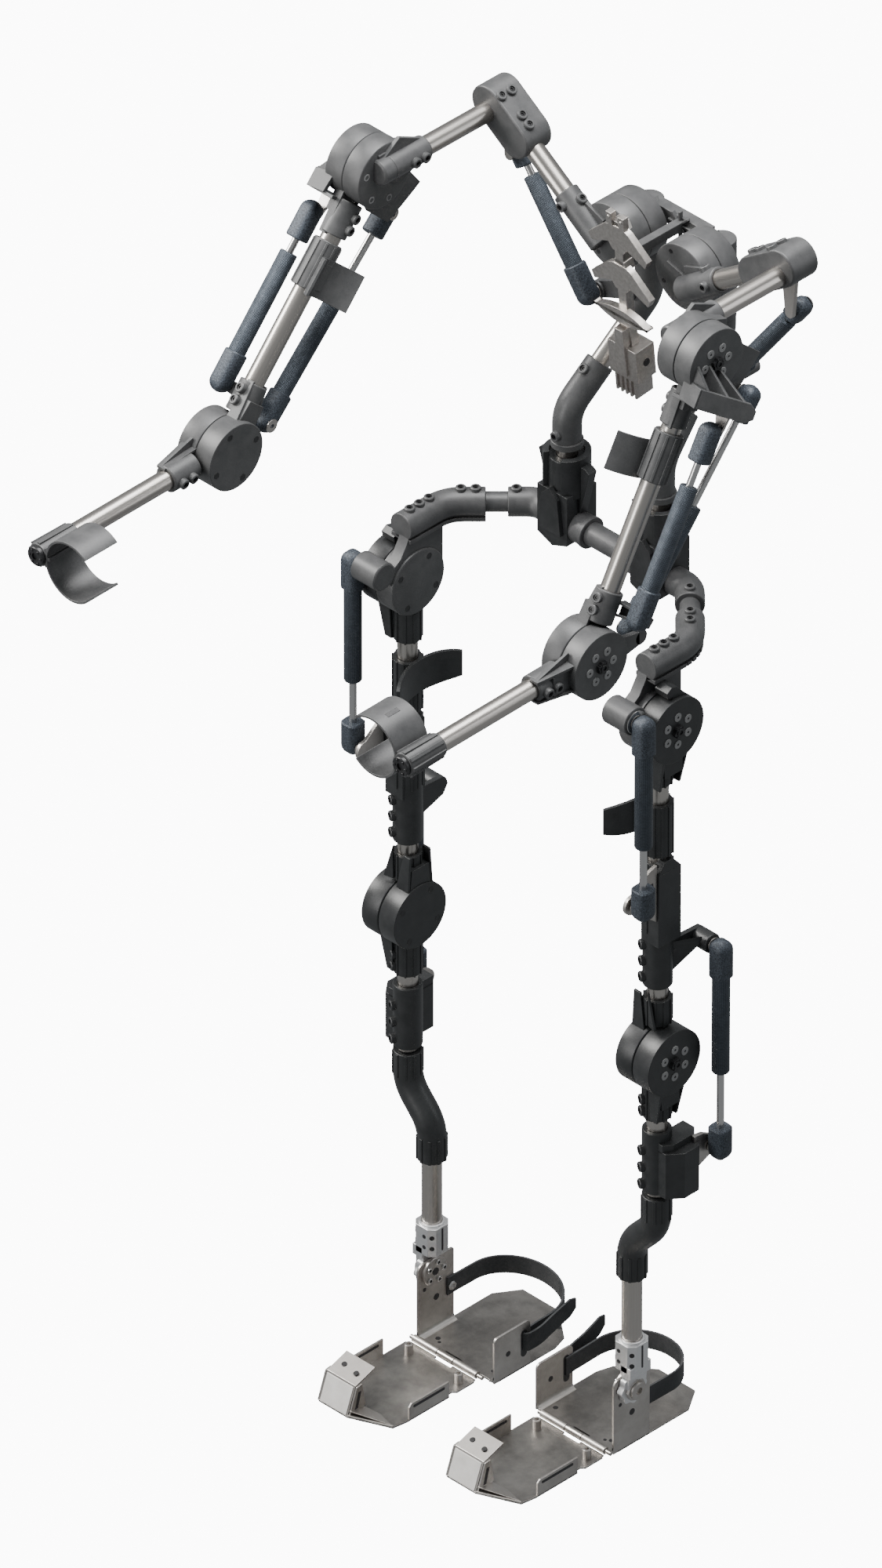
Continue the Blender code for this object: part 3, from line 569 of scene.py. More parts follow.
def back_block(where):
    x, y, h = BLOCK_X, BLOCK_Y, BLOCK_H
    body = slab([(x - h, 56), (x, 47), (x + h, 56), (x + h, 118), (x - h, 118)], "y", y - h, y + h)
    cheeks = slab([(x - 38, 148), (x - 32, 152), (x - h + 2, 152), (x - h + 2, 74)], "y", y - 5, y + 7)
    cheeks += slab([(x + 38, 148), (x + 32, 152), (x + h - 2, 152), (x + h - 2, 90)], "y", y - 5, y + 7)
    front = slab([(x - 17, 68), (x + 17, 68), (x + 12, 112), (x, 124), (x - 12, 112)], "y",
                 y - h - 5, y - h + 1)
    collar = slab(sector((x, y), 26.3, 7.0, -60, 240, 48), "z", 112, 161.7)
    core = ring((x, y, 104), (x, y, 156), 20.5, TUBE_R + 0.4, 48, 0.6)
    neck = ring((30, y - 4, 74), (x - h + 4, y - 4, 74), 17.5, 13.6, 48, 1.0)
    piece("block", where, BLACK, body + cheeks + front + collar + core, 1.4, [f"back_block_{where.tag}"])
    piece("block_collar", where, GREY, neck + ring((28, y - 4, 74), (33, y - 4, 74), 18.6, 13.6, 48, 0.8), 0)


def hip_arm(where):
    x = 183.3
    corners = [(x, -12.5, ARM_Z), (x, 55, ARM_Z), (153, 85.3, ARM_Z)]
    sleeve = pipe(bend(corners, 26), SLEEVE_R + 0.2, 40)
    flange = []
    path = bend(corners, 26, 5)
    for a, b in zip(path, path[1:]):
        way = (b - a).normalized()
        out = 14.5 * Vector((way.y, -way.x, 0))
        flange += skin([[c + Vector((0, 0, drop)) for c in (a + out, b + out, b - out, a - out)]
                        for drop in (-16.4, -11.5)])
    elbow = pipe(bend([(136.5, 101.8, ARM_Z), (114.5, BLOCK_Y, ARM_Z),
                       (BLOCK_X + BLOCK_H - 1, BLOCK_Y, ARM_Z)], 18), SLEEVE_R + 0.4, 40)
    web = slab([(39.4, -2), (39.4, 62), (-12, 62), (-15, 55), (-24, 40), (-34, 33), (-40, 26), (-34, -12)],
               "x", HIP_X + 2.5, HIP_X + 16.5)
    profile = [(0, 0), (14.9, 0), (16.5, 1.6), (16.5, 34.6), (15.6, 35.6), (0, 35.6)]
    lug = turned((HIP_X + 1, -50, 30), X, profile, 56)
    half = disc((HIP_X, 0, 0), X)
    piece("hip_casting", where, GREY, sleeve + web + lug + half + elbow + flange, 0.9,
          [f"hip_arm_{where.tag}"])
    tube("hip_arm_tube", where, (158, 80.3, ARM_Z), (128, 110.3, ARM_Z), TUBE_R, GREY)
    spots = [((x, y, ARM_Z + 15), Z) for y in (0.9, 15.2, 30)]
    spots += [((a, b, ARM_Z + 15), Z) for a, b in ((171.8, 66.5), (160.7, 77.7), (130, 108.3))]
    bosses("hip_arm", where, spots, GREY, 4.6)
    bolt_face("hip", where, (HIP_X, 0, 0), (-1, 0, 0))
    piece("hip_lug_ring", where, ROD, ring((204.6, -50, 30), (207.2, -50, 30), 13.4, 5, 40, 0.4), 0)


def riser(where):
    x, y = BLOCK_X, BLOCK_Y
    top_x, top_y = ABDUCTION.x, 231.7
    low, high = Vector((x, y, 212.5)), Vector((top_x, top_y, 320))
    path = bend([(x, y, 172), low, low.lerp(high, 0.4)], 26)
    tube("riser_foot_tube", where, (x, y, 98), (x, y, 196))
    tube("riser_slant_tube", where, low.lerp(high, 0.3), low.lerp(high, 0.97))
    tube("riser_top_tube", where, (top_x, top_y, 318), (top_x, top_y, 360))
    elbow = pipe(path, 16.2, 40) + ring((x, y, 168), (x, y, 176), 18, 15, 48, 0.6)
    piece("riser_elbow", where, GREY, elbow, 0)
    knee = pipe(bend([low.lerp(high, 0.8), high, (top_x, top_y, 352)], 20), 15.6, 40)
    half = disc((top_x, 220.8, ABDUCTION.z), (0, -1, 0))
    clamp = rod((top_x, top_y, 342), (top_x, top_y, 441), 16, 48, 0.8)
    gusset = fin([(top_x - 30, 221, 428), (top_x - 8, 236, 444), (top_x - 8, 221, 444)], 4, Z)
    arm = slab([(top_x, 346), (112, 316), (116, 308), (106, 298), (top_x, 320)], "y", 208, 226)
    knuckle = rod((106.7, 204.9, 308.3), (106.7, 227.4, 308.3), 10.5, 40, 0.8)
    piece("riser_clamp", where, GREY, knee + half + clamp + gusset + arm + knuckle, 0.8,
          [f"shoulder_riser_{where.tag}"])
    bolt_face("abduction_rear", where, (top_x, 220.8, ABDUCTION.z), Y)
    mid = low.lerp(high, 0.3)
    up = (high - low).normalized()
    out = up.cross(Vector(X)).normalized()
    bosses("riser", where, [((x, y - 15.5, 186), (0, -1, 0)), (mid - 15.4 * out, -out),
                            (mid + 15.4 * out + 9 * up, out)], GREY)


def hanger():
    where = Place("", 1, "frame")
    y0 = 125.0
    lean = Matrix.Translation((0, y0, 490)) @ Matrix.Rotation(math.radians(5.5), 4, "X")
    lean = lean @ Matrix.Translation((0, -y0, -490))
    spine = slab([(-9, 275), (-9, 330), (-6, 345), (-6, 486), (6, 486), (6, 345), (9, 330), (9, 275)], "y",
                 y0 + 1, y0 + 12)
    wings = []
    wide = 44
    for z in (400, 452):
        wings += slab([(-wide, z), (-wide + 4, z - 9), (-14, z + 2), (-8, z - 6), (8, z - 6), (14, z + 2),
                       (wide - 4, z - 9), (wide, z), (18, z + 24), (10, z + 28), (-10, z + 28),
                       (-18, z + 24)], "y", y0, y0 + 8)
        wings += slab([(-11, z + 24), (11, z + 24), (7, z + 34), (-7, z + 34)], "y", y0 + 1, y0 + 14)
    lens = slab(arc((0, 290), 80, 60, 120, 12) + arc((0, 431), 80, 240, 300, 12), "y", y0 - 4, y0 + 5)
    base = bar((-21, y0 - 6, 280), (21, y0 + 22, 322)) + bar((-15, y0 - 2, 258), (15, y0 + 19, 282))
    fins = []
    for x in (-14, -7, 0, 7, 14):
        fins += bar((x - 1.5, y0 - 4.5, 256), (x + 1.5, y0 + 21, 281))
    ears = []
    for x in (-9, 9):
        ears += bar((x - 4, y0 - 1, 480), (x + 4, y0 + 7, 496))
        ears += rod((x, y0 - 2, 490), (x, y0 + 8, 490), 2.2, 20)
    tongue = slab([(-8, 286), (8, 286), (6, 346), (-6, 346)], "y", y0 - 9, y0 + 2)
    # A dark rod whose ends show at both sides of the base: painted shade in the side holes
    side_holes = rod((-21.6, y0 + 9, 302), (21.6, y0 + 9, 302), 4.6, 28, 0.2)
    piece("spine_hanger_body", where, SILVER, moved(spine + wings + lens + base + fins + ears + tongue, lean),
          0.9, ["spine_hanger"])
    piece("hanger_side_hole_shade", where, DARK, moved(side_holes, lean), 0)
    reach = ABDUCTION.x - 16.4
    link = bar((-reach, 224, LINK_Z - 9), (reach, 238.5, LINK_Z + 9))
    star = []
    for a in range(0, 180, 45):
        turn = Matrix.Translation((0, 223, LINK_Z)) @ Matrix.Rotation(math.radians(a), 4, "Y")
        star += moved(bar((-17, -2, -1.6), (17, 3, 1.6)), turn)
    piece("riser_link", where, GREY, link + star + bar((-5, 136, LINK_Z - 6), (5, 226, LINK_Z + 6)), 1.0)
    tube("cross_tube_bar", where, (-60, BLOCK_Y - 4, 74), (60, BLOCK_Y - 4, 74), 13.3, GREY, ["cross_tube"])


# --- the legs -------------------------------------------------------------------------------------


def leg_sleeve(x, z0, z1, radius=SLEEVE_R, ribs=0):
    solids = ring((x, LEG_Y, z0), (x, LEG_Y, z1), radius, TUBE_R + 0.2, 48, 0.8)
    if ribs:
        solids += ribs_round((x, LEG_Y, z0), (x, LEG_Y, z1), radius, ribs, 1.1, 2.4)
    return solids


def front_bosses(words, where, x, heights, radius, mat):
    """Set screws down the front of a leg sleeve, turned a little inwards."""
    way = Vector((-0.45 * where.side, -1, 0)).normalized()
    bosses(words, where, [(Vector((x, LEG_Y, z)) + (radius - 0.6) * way, way) for z in heights], mat)


def neck(x0, z_disc, sign):
    """The waist between a hinge half and its sleeve, with side gussets."""
    solids = slab([(-14, z_disc + sign * 30), (18, z_disc + sign * 30), (15, z_disc + sign * 62),
                   (-11, z_disc + sign * 62)], "x", x0 + 1.5, x0 + 17)
    for y in (-15.5, 20.5):
        solids += fin([(x0 + 2, y, z_disc + sign * 27), (x0 + 22, y, z_disc + sign * 27),
                       (x0 + 12, y * 0.8, z_disc + sign * 80), (x0 + 2, y * 0.8, z_disc + sign * 80)], 3,
                      Y)
    return solids


def thigh(where):
    tag, x0 = where.tag, HIP_X + 25.4
    nose = slab([(-2, 34), (-2, 42), (-9, 42), (-11, 50), (-4, 55), (4, 53), (26, 28)], "x", x0 + 1, x0 + 20)
    yoke = disc((x0, 0, 0), X) + nose + neck(x0, 0, -1) + leg_sleeve(LEG_X, -81, -42, ribs=10)
    piece("hip_yoke_body", where, BLACK, yoke, 0.8, [f"hip_yoke_{tag}"])
    hub_face("hip", where, (x0 + DISC_T, 0, 0), X)
    tube("thigh_bar", where, (LEG_X, LEG_Y, -50), (LEG_X, LEG_Y, -392), nodes=[f"thigh_tube_{tag}"])
    clip = leg_sleeve(LEG_X, -172, -106, 16.5, 12)
    rings, steps = [], 24
    for k in range(steps + 1):
        turn = math.radians(-42 + 84 * k / steps)
        lift = 6.0 * (k / steps) + 3
        wide = 21 - 5 * abs(2 * k / steps - 1) ** 3
        rings.append([(100 + r * math.cos(turn), LEG_Y + r * math.sin(turn), -131 + lift + s * wide)
                      for r, s in ((74.5, 1), (74.5, -1), (70.5, -1), (70.5, 1))])
    piece("thigh_cuff_shell", where, BLACK, clip + skin(rings), 0.8, [f"thigh_cuff_{tag}"])
    bracket = leg_sleeve(LEG_X, -344, -181, 16.5)
    bracket += ribs_round((LEG_X, LEG_Y, -272), (LEG_X, LEG_Y, -182), 16.5, 12, 1.1, 2.2)
    bracket += bar((LEG_X - 9, -14, -284), (206, 20, -190))
    bracket += slab([(-14, -190), (20, -190), (8, -176), (-4, -176)], "x", LEG_X + 2, 206)
    z = -305.8
    bracket += slab([(2, z + 15), (60, z + 11.5), (67, z), (60, z - 11.5), (2, z - 30)], "x",
                    LEG_X + 3, LEG_X + 9)
    bracket += fin([(LEG_X + 8, 6, z), (LEG_X + 20, 50, z), (LEG_X + 8, 54, z)], 4, Z)
    bracket += fin([(LEG_X + 4, 8, z - 28), (LEG_X + 24, 40, z + 6), (LEG_X + 24, 46, z + 10),
                    (LEG_X + 4, 8, z + 10)], 4, Z)
    bracket += rod((LEG_X + 4, 55.8, z), (218.4, 55.8, z), 11.5, 40, 0.8)
    piece("strut_bracket", where, BLACK, bracket, 0.9, [f"thigh_spring_bracket_{tag}"])
    z = STRUT_HEADS["hip"][2]
    plate = slab([(-14, z + 34), (-26, z + 30)] + arc((-50, z), 12, 90, 270, 10) + [(-14, z - 40)], "x",
                 199, 203.5)
    # The slot in the strut plate is drawn as a dark slab: painted shade
    slot = slab([(-24, z + 14), (-20, z + 14), (-18, z - 24), (-22, z - 24)], "x", 198.8, 203.8)
    piece("hip_strut_plate", where, EDGE, plate, 0.5)
    piece("hip_strut_slot", where, DARK, slot, 0.3)
    front_bosses("strut_bracket", where, LEG_X, (-290, -311, -332), 16.5, BLACK)
    knee_half = disc((KNEE_X + DISC_T, 0, KNEE_Z), (-1, 0, 0))
    upper = leg_sleeve(LEG_X, KNEE_Z + 42, KNEE_Z + 75, ribs=10) + neck(KNEE_X, KNEE_Z, 1)
    upper += fin([(LEG_X + 4, -14, KNEE_Z + 44), (LEG_X + 16, -17, KNEE_Z + 44),
                  (LEG_X + 4, -15, KNEE_Z + 88)], 3, Y)
    piece("knee_upper", where, BLACK, knee_half + upper, 0.8)
    bolt_face("knee", where, (KNEE_X, 0, KNEE_Z), (-1, 0, 0))


def shank(where):
    tag, x0 = where.tag, KNEE_X + 25.4
    lower = disc((x0, 0, KNEE_Z), X) + neck(x0, KNEE_Z, -1)
    lower += leg_sleeve(LEG_X, KNEE_Z - 83, KNEE_Z - 42, ribs=10)
    piece("knee_lower_body", where, BLACK, lower, 0.8, [f"knee_lower_{tag}"])
    hub_face("knee", where, (x0 + DISC_T, 0, KNEE_Z), X)
    front_bosses("knee_lower", where, LEG_X, (-493, -508), SLEEVE_R, BLACK)
    tube("shin_upper_bar", where, (LEG_X, LEG_Y, KNEE_Z - 50), (LEG_X, LEG_Y, -620),
         nodes=[f"shank_tube_{tag}"])
    block = leg_sleeve(LEG_X, -614, -534, 16.4, 0)
    block += slab([(LEG_X, -8), (212, -8), (225, 8), (225, 30), (213, 42), (LEG_X, 42)], "z", -613, -554)
    block += slab([(LEG_X, -8), (207, -8), (214, 2), (214, 30), (206, 42), (LEG_X, 42)], "z", -556, -545)
    piece("shank_block", where, BLACK, block, 1.2)
    front_bosses("shank_block", where, LEG_X, (-560, -582, -604), 16.4, BLACK)
    z = STRUT_HEADS["knee"][2]
    plate = slab([(30, z + 22), (44, z + 20)] + arc((55.8, z), 11.5, 70, -90, 10) + [(30, z - 22)], "x",
                 212, 217.8)
    piece("knee_strut_plate", where, EDGE, plate, 0.5)
    route = bend([(LEG_X, LEG_Y, -621), (LEG_X, LEG_Y, -664), (SHIN_X, LEG_Y, -704),
                  (SHIN_X, LEG_Y, -747.5)], 18)
    lip = ribs_round((SHIN_X, LEG_Y, -747), (SHIN_X, LEG_Y, -716), 16.2, 10, 1.2, 3.4)
    lip += ribs_round((LEG_X, LEG_Y, -622), (LEG_X, LEG_Y, -652), 16.2, 10, 1.2, 3.4)
    piece("shin_bend", where, BLACK, pipe(route, 16.4, 48) + lip, 0.5)
    tube("shin_lower_bar", where, (SHIN_X, LEG_Y, -742), (SHIN_X, LEG_Y, -856))
    x, y = SHIN_X, LEG_Y
    eight = [(x - 16, y - 9), (x - 9, y - 16), (x + 9, y - 16), (x + 16, y - 9), (x + 16, y + 9),
             (x + 9, y + 16), (x - 9, y + 16), (x - 16, y + 9)]
    clamp = slab(eight, "z", -868, -832) + ring((x, y, -834), (x, y, -829), 14.5, TUBE_R + 0.2, 48, 0.8)
    clamp += bar((x - 1, -13.5, -874), (x + 14, 18, -860))
    scalloped = []
    for k in range(48):
        t = 2 * math.pi * k / 48
        r = 18.2 + 1.3 * math.cos(8 * t)
        scalloped.append((r * math.cos(t), ANKLE_Z + r * math.sin(t)))
    clamp += slab(scalloped, "x", 150.5, 158.5)
    clamp += slab([(-12, -872), (16, -872), (14, ANKLE_Z), (-12, ANKLE_Z)], "x", 150.6, 162)
    piece("ankle_clamp_body", where, ALLOY, clamp, 0.9, [f"ankle_clamp_{tag}"])
    nut = ring((158, 0, ANKLE_Z), (166, 0, ANKLE_Z), 10.5, 4.2, 40, 0.9)
    nut += ring((158, 0, ANKLE_Z), (163, 0, ANKLE_Z), 13.5, 9, 8, 0.6)
    piece("ankle_nut", where, EDGE, nut, 0)
    piece("ankle_bore", where, TUBE, rod((156, 0, ANKLE_Z), (163.4, 0, ANKLE_Z), 4.4, 24, 0.3), 0)
    # Dark discs and slits on the clamp: painted shade in its screw holes and slots
    holes = []
    slant = Vector((1, -1, 0)).normalized()
    for z in (-843, -857):
        holes += rod((x - 4, y - 15.5, z), (x - 4, y - 16.3, z), 2.5, 20, 0.1)
        for out in (slant, Vector((-slant.x, slant.y, 0))):
            spot = Vector((x, y, z)) + 17.2 * out
            holes += rod(spot, spot + 0.9 * out, 2.8, 20, 0.1)
    for out in (1, -1):
        holes += slab([(y - 1.1, -834), (y + 1.1, -834)] + arc((y, -862), 1.1, 0, -180, 4), "x",
                      x + 15.4 * out, x + 16.3 * out)
    piece("ankle_screw_holes", where, DARK, holes, 0)


FOOT_IN, FOOT_OUT, TOE_MID = 31.0, 150.0, 97.5
FOOT_MID = (FOOT_IN + FOOT_OUT) / 2


def foot(where):
    tag, top = where.tag, SOLE_Z + SHEET
    base = slab([(FOOT_IN + 2, -22), (FOOT_OUT - 2, -22), (FOOT_OUT, -16), (FOOT_OUT, 92), (131, 121),
                 (76, 121), (FOOT_IN + 6, 90), (FOOT_IN, 70), (FOOT_IN, -16)], "z", SOLE_Z, top)
    front, rear = -23.0, 32.0
    inner = slab([(front, SOLE_Z + 0.4), (rear, SOLE_Z + 0.4), (rear, -924)]
                 + arc((rear - 6, -922), 6, 0, 90, 6) + arc((front + 6, -922), 6, 90, 180, 6), "x",
                 FOOT_IN, FOOT_IN + SHEET)
    outer = slab([(front, SOLE_Z + 0.4), (rear, SOLE_Z + 0.4)] + arc((rear - 4, -883), 4, 0, 90, 5)
                 + arc((front + 9, -888), 9, 90, 180, 8), "x", FOOT_OUT - SHEET, FOOT_OUT)
    piece("heel_tread", where, PLATE, base, 0.5, [f"heel_plate_{tag}"])
    fillets = []
    for x, s in ((FOOT_IN, 1), (FOOT_OUT, -1)):
        curve = [(x, SOLE_Z + 9)]
        curve += [(x + s * (9 - 9 * math.cos(a)), SOLE_Z + 9 - 9 * math.sin(a))
                  for a in (0.4, 0.8, 1.2, 1.57)]
        curve.append((x + s * 9, top))
        curve += [(x + s * (2.6 + 6.4 - 6.4 * math.cos(a)), top + 6.4 - 6.4 * math.sin(a))
                  for a in (1.2, 0.8, 0.4, 0)]
        fillets += slab(curve, "y", front, rear)
    piece("heel_walls", where, EDGE, inner + outer + fillets, 0.4)
    hub = rod((FOOT_OUT - 2, 0, ANKLE_Z), (FOOT_OUT - 6.5, 0, ANKLE_Z), 17.5, 56, 0.8)
    piece("ankle_disc", where, EDGE, hub, 0)
    spots = [(FOOT_OUT - 6.4, a, ANKLE_Z + b) for a, b in around(5, 12, 0.05)]
    # pits gathers thin dark discs and slots that stand for holes: painted shade
    screws, pits = [], []
    for x, a, b in spots:
        screws += ring((x, a, b), (x - 2.4, a, b), 3.4, 1.9, 20, 0.4)
        pits += rod((x, a, b), (x - 1.2, a, b), 2.0, 6, 0.1)
    pits += rod((FOOT_OUT - 6.4, 0, ANKLE_Z), (FOOT_OUT - 6.9, 0, ANKLE_Z), 4.6, 24, 0.1)
    for y, z, r in ((5, -932, 4.0), (-13, -914, 2.4)):
        pits += rod((FOOT_OUT - 2.2, y, z), (FOOT_OUT - 2.9, y, z), r, 20, 0.1)
        pits += rod((FOOT_OUT - 0.4, y, z), (FOOT_OUT + 0.2, y, z), r, 20, 0.1)
    pits += rod((FOOT_IN - 0.2, -2, -945), (FOOT_IN + 2.9, -2, -945), 3.4, 20, 0.1)
    pits += slab(arc((22, -930), 4.5, 0, 180, 8) + arc((22, -956), 4.5, 180, 360, 8), "x", FOOT_IN - 0.2,
                 FOOT_IN + 2.9)
    for x, y, r in ((FOOT_IN + 22, 98, 2.6), (FOOT_IN + 36, 104, 2.6), (FOOT_IN + 16, -8, 3),
                    (FOOT_OUT - 18, -8, 3), (FOOT_OUT - 24, -12, 2)):
        pits += rod((x, y, top - 0.2), (x, y, top + 0.15), r, 20, 0.05)
    piece("ankle_disc_screws", where, ROD, screws, 0)
    piece("heel_holes", where, DARK, pits, 0)
    hy, hz = TOE_HINGE_Y, TOE_HINGE_Z
    hinge = rod((TOE_MID - 55, hy, hz), (TOE_MID + 55, hy, hz), 2.6, 24, 0.3)
    hinge += ring((TOE_MID - 12, hy, hz), (TOE_MID + 12, hy, hz), 4.4, 2.4, 28, 0.3)
    hinge += bar((TOE_MID - 12, hy - 0.5, SOLE_Z + 0.2), (TOE_MID + 12, -18, top))
    piece("toe_hinge_pin", where, TUBE, hinge, 0)
    strap(where)
    toes(Place(tag, where.side, f"toes_{tag}"))


def strap(where):
    """The heel strap: from the outer wall's screw, round the heel, through the inner wall, and its tail."""
    wide = FOOT_OUT - FOOT_MID - 3.4
    half = 11.5
    route = [(FOOT_MID + wide, 20), (FOOT_MID + wide, 44)]
    route += [(FOOT_MID + wide * math.cos(math.pi * i / 28), 66 + 52 * math.sin(math.pi * i / 28))
              for i in range(29)]
    route += [(FOOT_MID - wide, 44), (FOOT_IN + 3.2, 30), (FOOT_IN + 3.2, 20)]
    levels = [-926 - 14 * (k / (len(route) - 1)) for k in range(len(route))]
    solids = ribbon([(x, y, z) for (x, y), z in zip(route, levels)], half, 1.3)
    tail = [(FOOT_IN + a, y, z) for a, y, z in ((1, 21, -941), (-5, 24, -940), (-8, 40, -937), (-7, 58, -932),
                                                (-8, 76, -926), (-9, 92, -920))]
    solids += ribbon(bend(tail, 8, 4), half, 1.3, round_end=True)
    piece("heel_strap_band", where, STRAP, solids, 0.4, [f"foot_strap_{where.tag}"])
    at = Vector((FOOT_OUT - 6, 26, -926))
    head = [(0, 0), (5.2, 0), (5.4, 1.6), (4.4, 3), (2.0, 3), (2.0, 1.6), (0, 1.6)]
    screw = turned(at + Vector((1.2, 0, 0)), (-1, 0, 0), head, 28)
    piece("strap_screw", where, ROD, screw, 0)


def ribbon(route, half, thick, round_end=False):
    """A band standing on edge along a route. round_end narrows its last end."""
    route = [Vector(p) for p in route]
    rings, last = [], len(route) - 1
    for k, at in enumerate(route):
        way = (route[min(k + 1, last)] - route[max(k - 1, 0)]).normalized()
        out = Vector((way.y, -way.x, 0)).normalized() * thick
        up = Vector((0, 0, half * 0.55 if round_end and k == last else half))
        rings.append([at - out - up, at + out - up, at + out + up, at - out + up])
    return skin(rings)


def toes(where):
    """The toe plate. It has one shape for both feet, so its x is turned back by the side."""
    tag, top = where.tag, SOLE_Z + SHEET
    left, right = -56.0, 49.0

    def same(solids):
        return [([Vector((TOE_MID + where.side * p[0], p[1], p[2])) for p in map(Vector, points)], faces)
                for points, faces in solids]

    tread = slab([(left, -36), (right, -36), (right, -62), (right - 4, -66), (right - 4, -72), (right, -74),
                  (right, -138), (46, -157), (-3, -178), (-46.5, -178), (left, -140)], "z", SOLE_Z, top)
    piece("toe_tread", where, PLATE, same(tread), 0.5, [f"toe_plate_{tag}"])
    cap = [(-178, SOLE_Z + 0.4), (-165, SOLE_Z + 36), (-135, SOLE_Z + 46), (-134.4, SOLE_Z + 43.4),
           (-163, SOLE_Z + 33.6), (-175.2, SOLE_Z + 0.4)]
    walls = slab(cap, "x", -46.5, -3)
    cheek = [(y, SOLE_Z + z) for y, z in ((-177, 0.5), (-160, 0.5), (-152, 7), (-157, 36), (-165, 35))]
    walls += slab(cheek, "x", -49.4, -47.2) + slab(cheek, "x", -2.6, -0.4)
    walls += slab([(-3, -178), (46, -157), (44, -155), (-3, -170)], "z", top, top + 1.2)
    slope = fin([(-2, -176, top + 6), (44, -156, top + 0.5), (20, -150, top + 0.5), (-2, -152, top + 0.5)], 2,
                (0.35, -0.5, 1))
    wing_left = slab([(-121, SOLE_Z + 0.5), (-72, SOLE_Z + 0.5), (-72, SOLE_Z + 25), (-117, SOLE_Z + 25),
                      (-121, SOLE_Z + 21)], "x", left, left + 2.4)
    wing_right = slab([(-135, SOLE_Z + 0.5), (-74, SOLE_Z + 0.5), (-74, SOLE_Z + 22), (-131, SOLE_Z + 22),
                       (-135, SOLE_Z + 18)], "x", right - 2.4, right)
    piece("toe_walls", where, EDGE, same(walls + slope + wing_left + wing_right), 0.45)
    way = Vector((0, -35.6, -13)).normalized()
    face = fin([(-44.5, -177.6, SOLE_Z + 3), (-5, -177.6, SOLE_Z + 3), (-5, -166.3, SOLE_Z + 34),
                (-44.5, -166.3, SOLE_Z + 34)], 0.9, way)
    piece("toe_front", where, PALE, same(face), 0.4)
    # dark holds the dark discs and slabs in the toe's holes and slots: painted shade
    dark = []
    slope_normal = Vector((0, -10, 30)).normalized()
    for x in (-35, -14):
        at = Vector((x, -150 if x < -20 else -153, SOLE_Z + 41.2))
        dark += rod(at, at + 0.7 * slope_normal, 3.2, 24, 0.1)
    for lo, hi, x0, x1 in ((-114, -80, left - 0.3, left + 2.7), (-128, -82, right - 2.7, right + 0.3)):
        z = SOLE_Z + (20 if x0 < 0 else 17)
        dark += slab([(lo, z - 1.6), (hi, z - 1.6), (hi + 1, z), (hi, z + 1.6), (lo, z + 1.6), (lo - 1, z)],
                     "x", x0, x1)
    dark += slab([(y, SOLE_Z + z) for y, z in ((-168, 8), (-164, 8), (-159, 28), (-163, 28))], "x",
                 -0.6, -0.1)
    piece("toe_slots", where, DARK, same(dark), 0)
    posts = []
    for x in (-38, 38):
        posts += ring((x, -49, top - 0.4), (x, -49, SOLE_Z + 15), 4.8, 2.2, 32, 0.5)
        posts += rod((x, -49, top - 0.4), (x, -49, SOLE_Z + 12), 2.4, 20, 0.2)
    hy, hz = TOE_HINGE_Y, TOE_HINGE_Z
    for low, high in ((left + 6, -12.6), (12.6, right - 2)):
        posts += ring((low, hy, hz), (high, hy, hz), 4.4, 2.9, 28, 0.3)
        posts += bar((low, -38, SOLE_Z + 0.3), (high, hy - 3.2, top - 0.2))
    piece("toe_posts", where, EDGE, same(posts), 0)


# --- the arms -------------------------------------------------------------------------------------


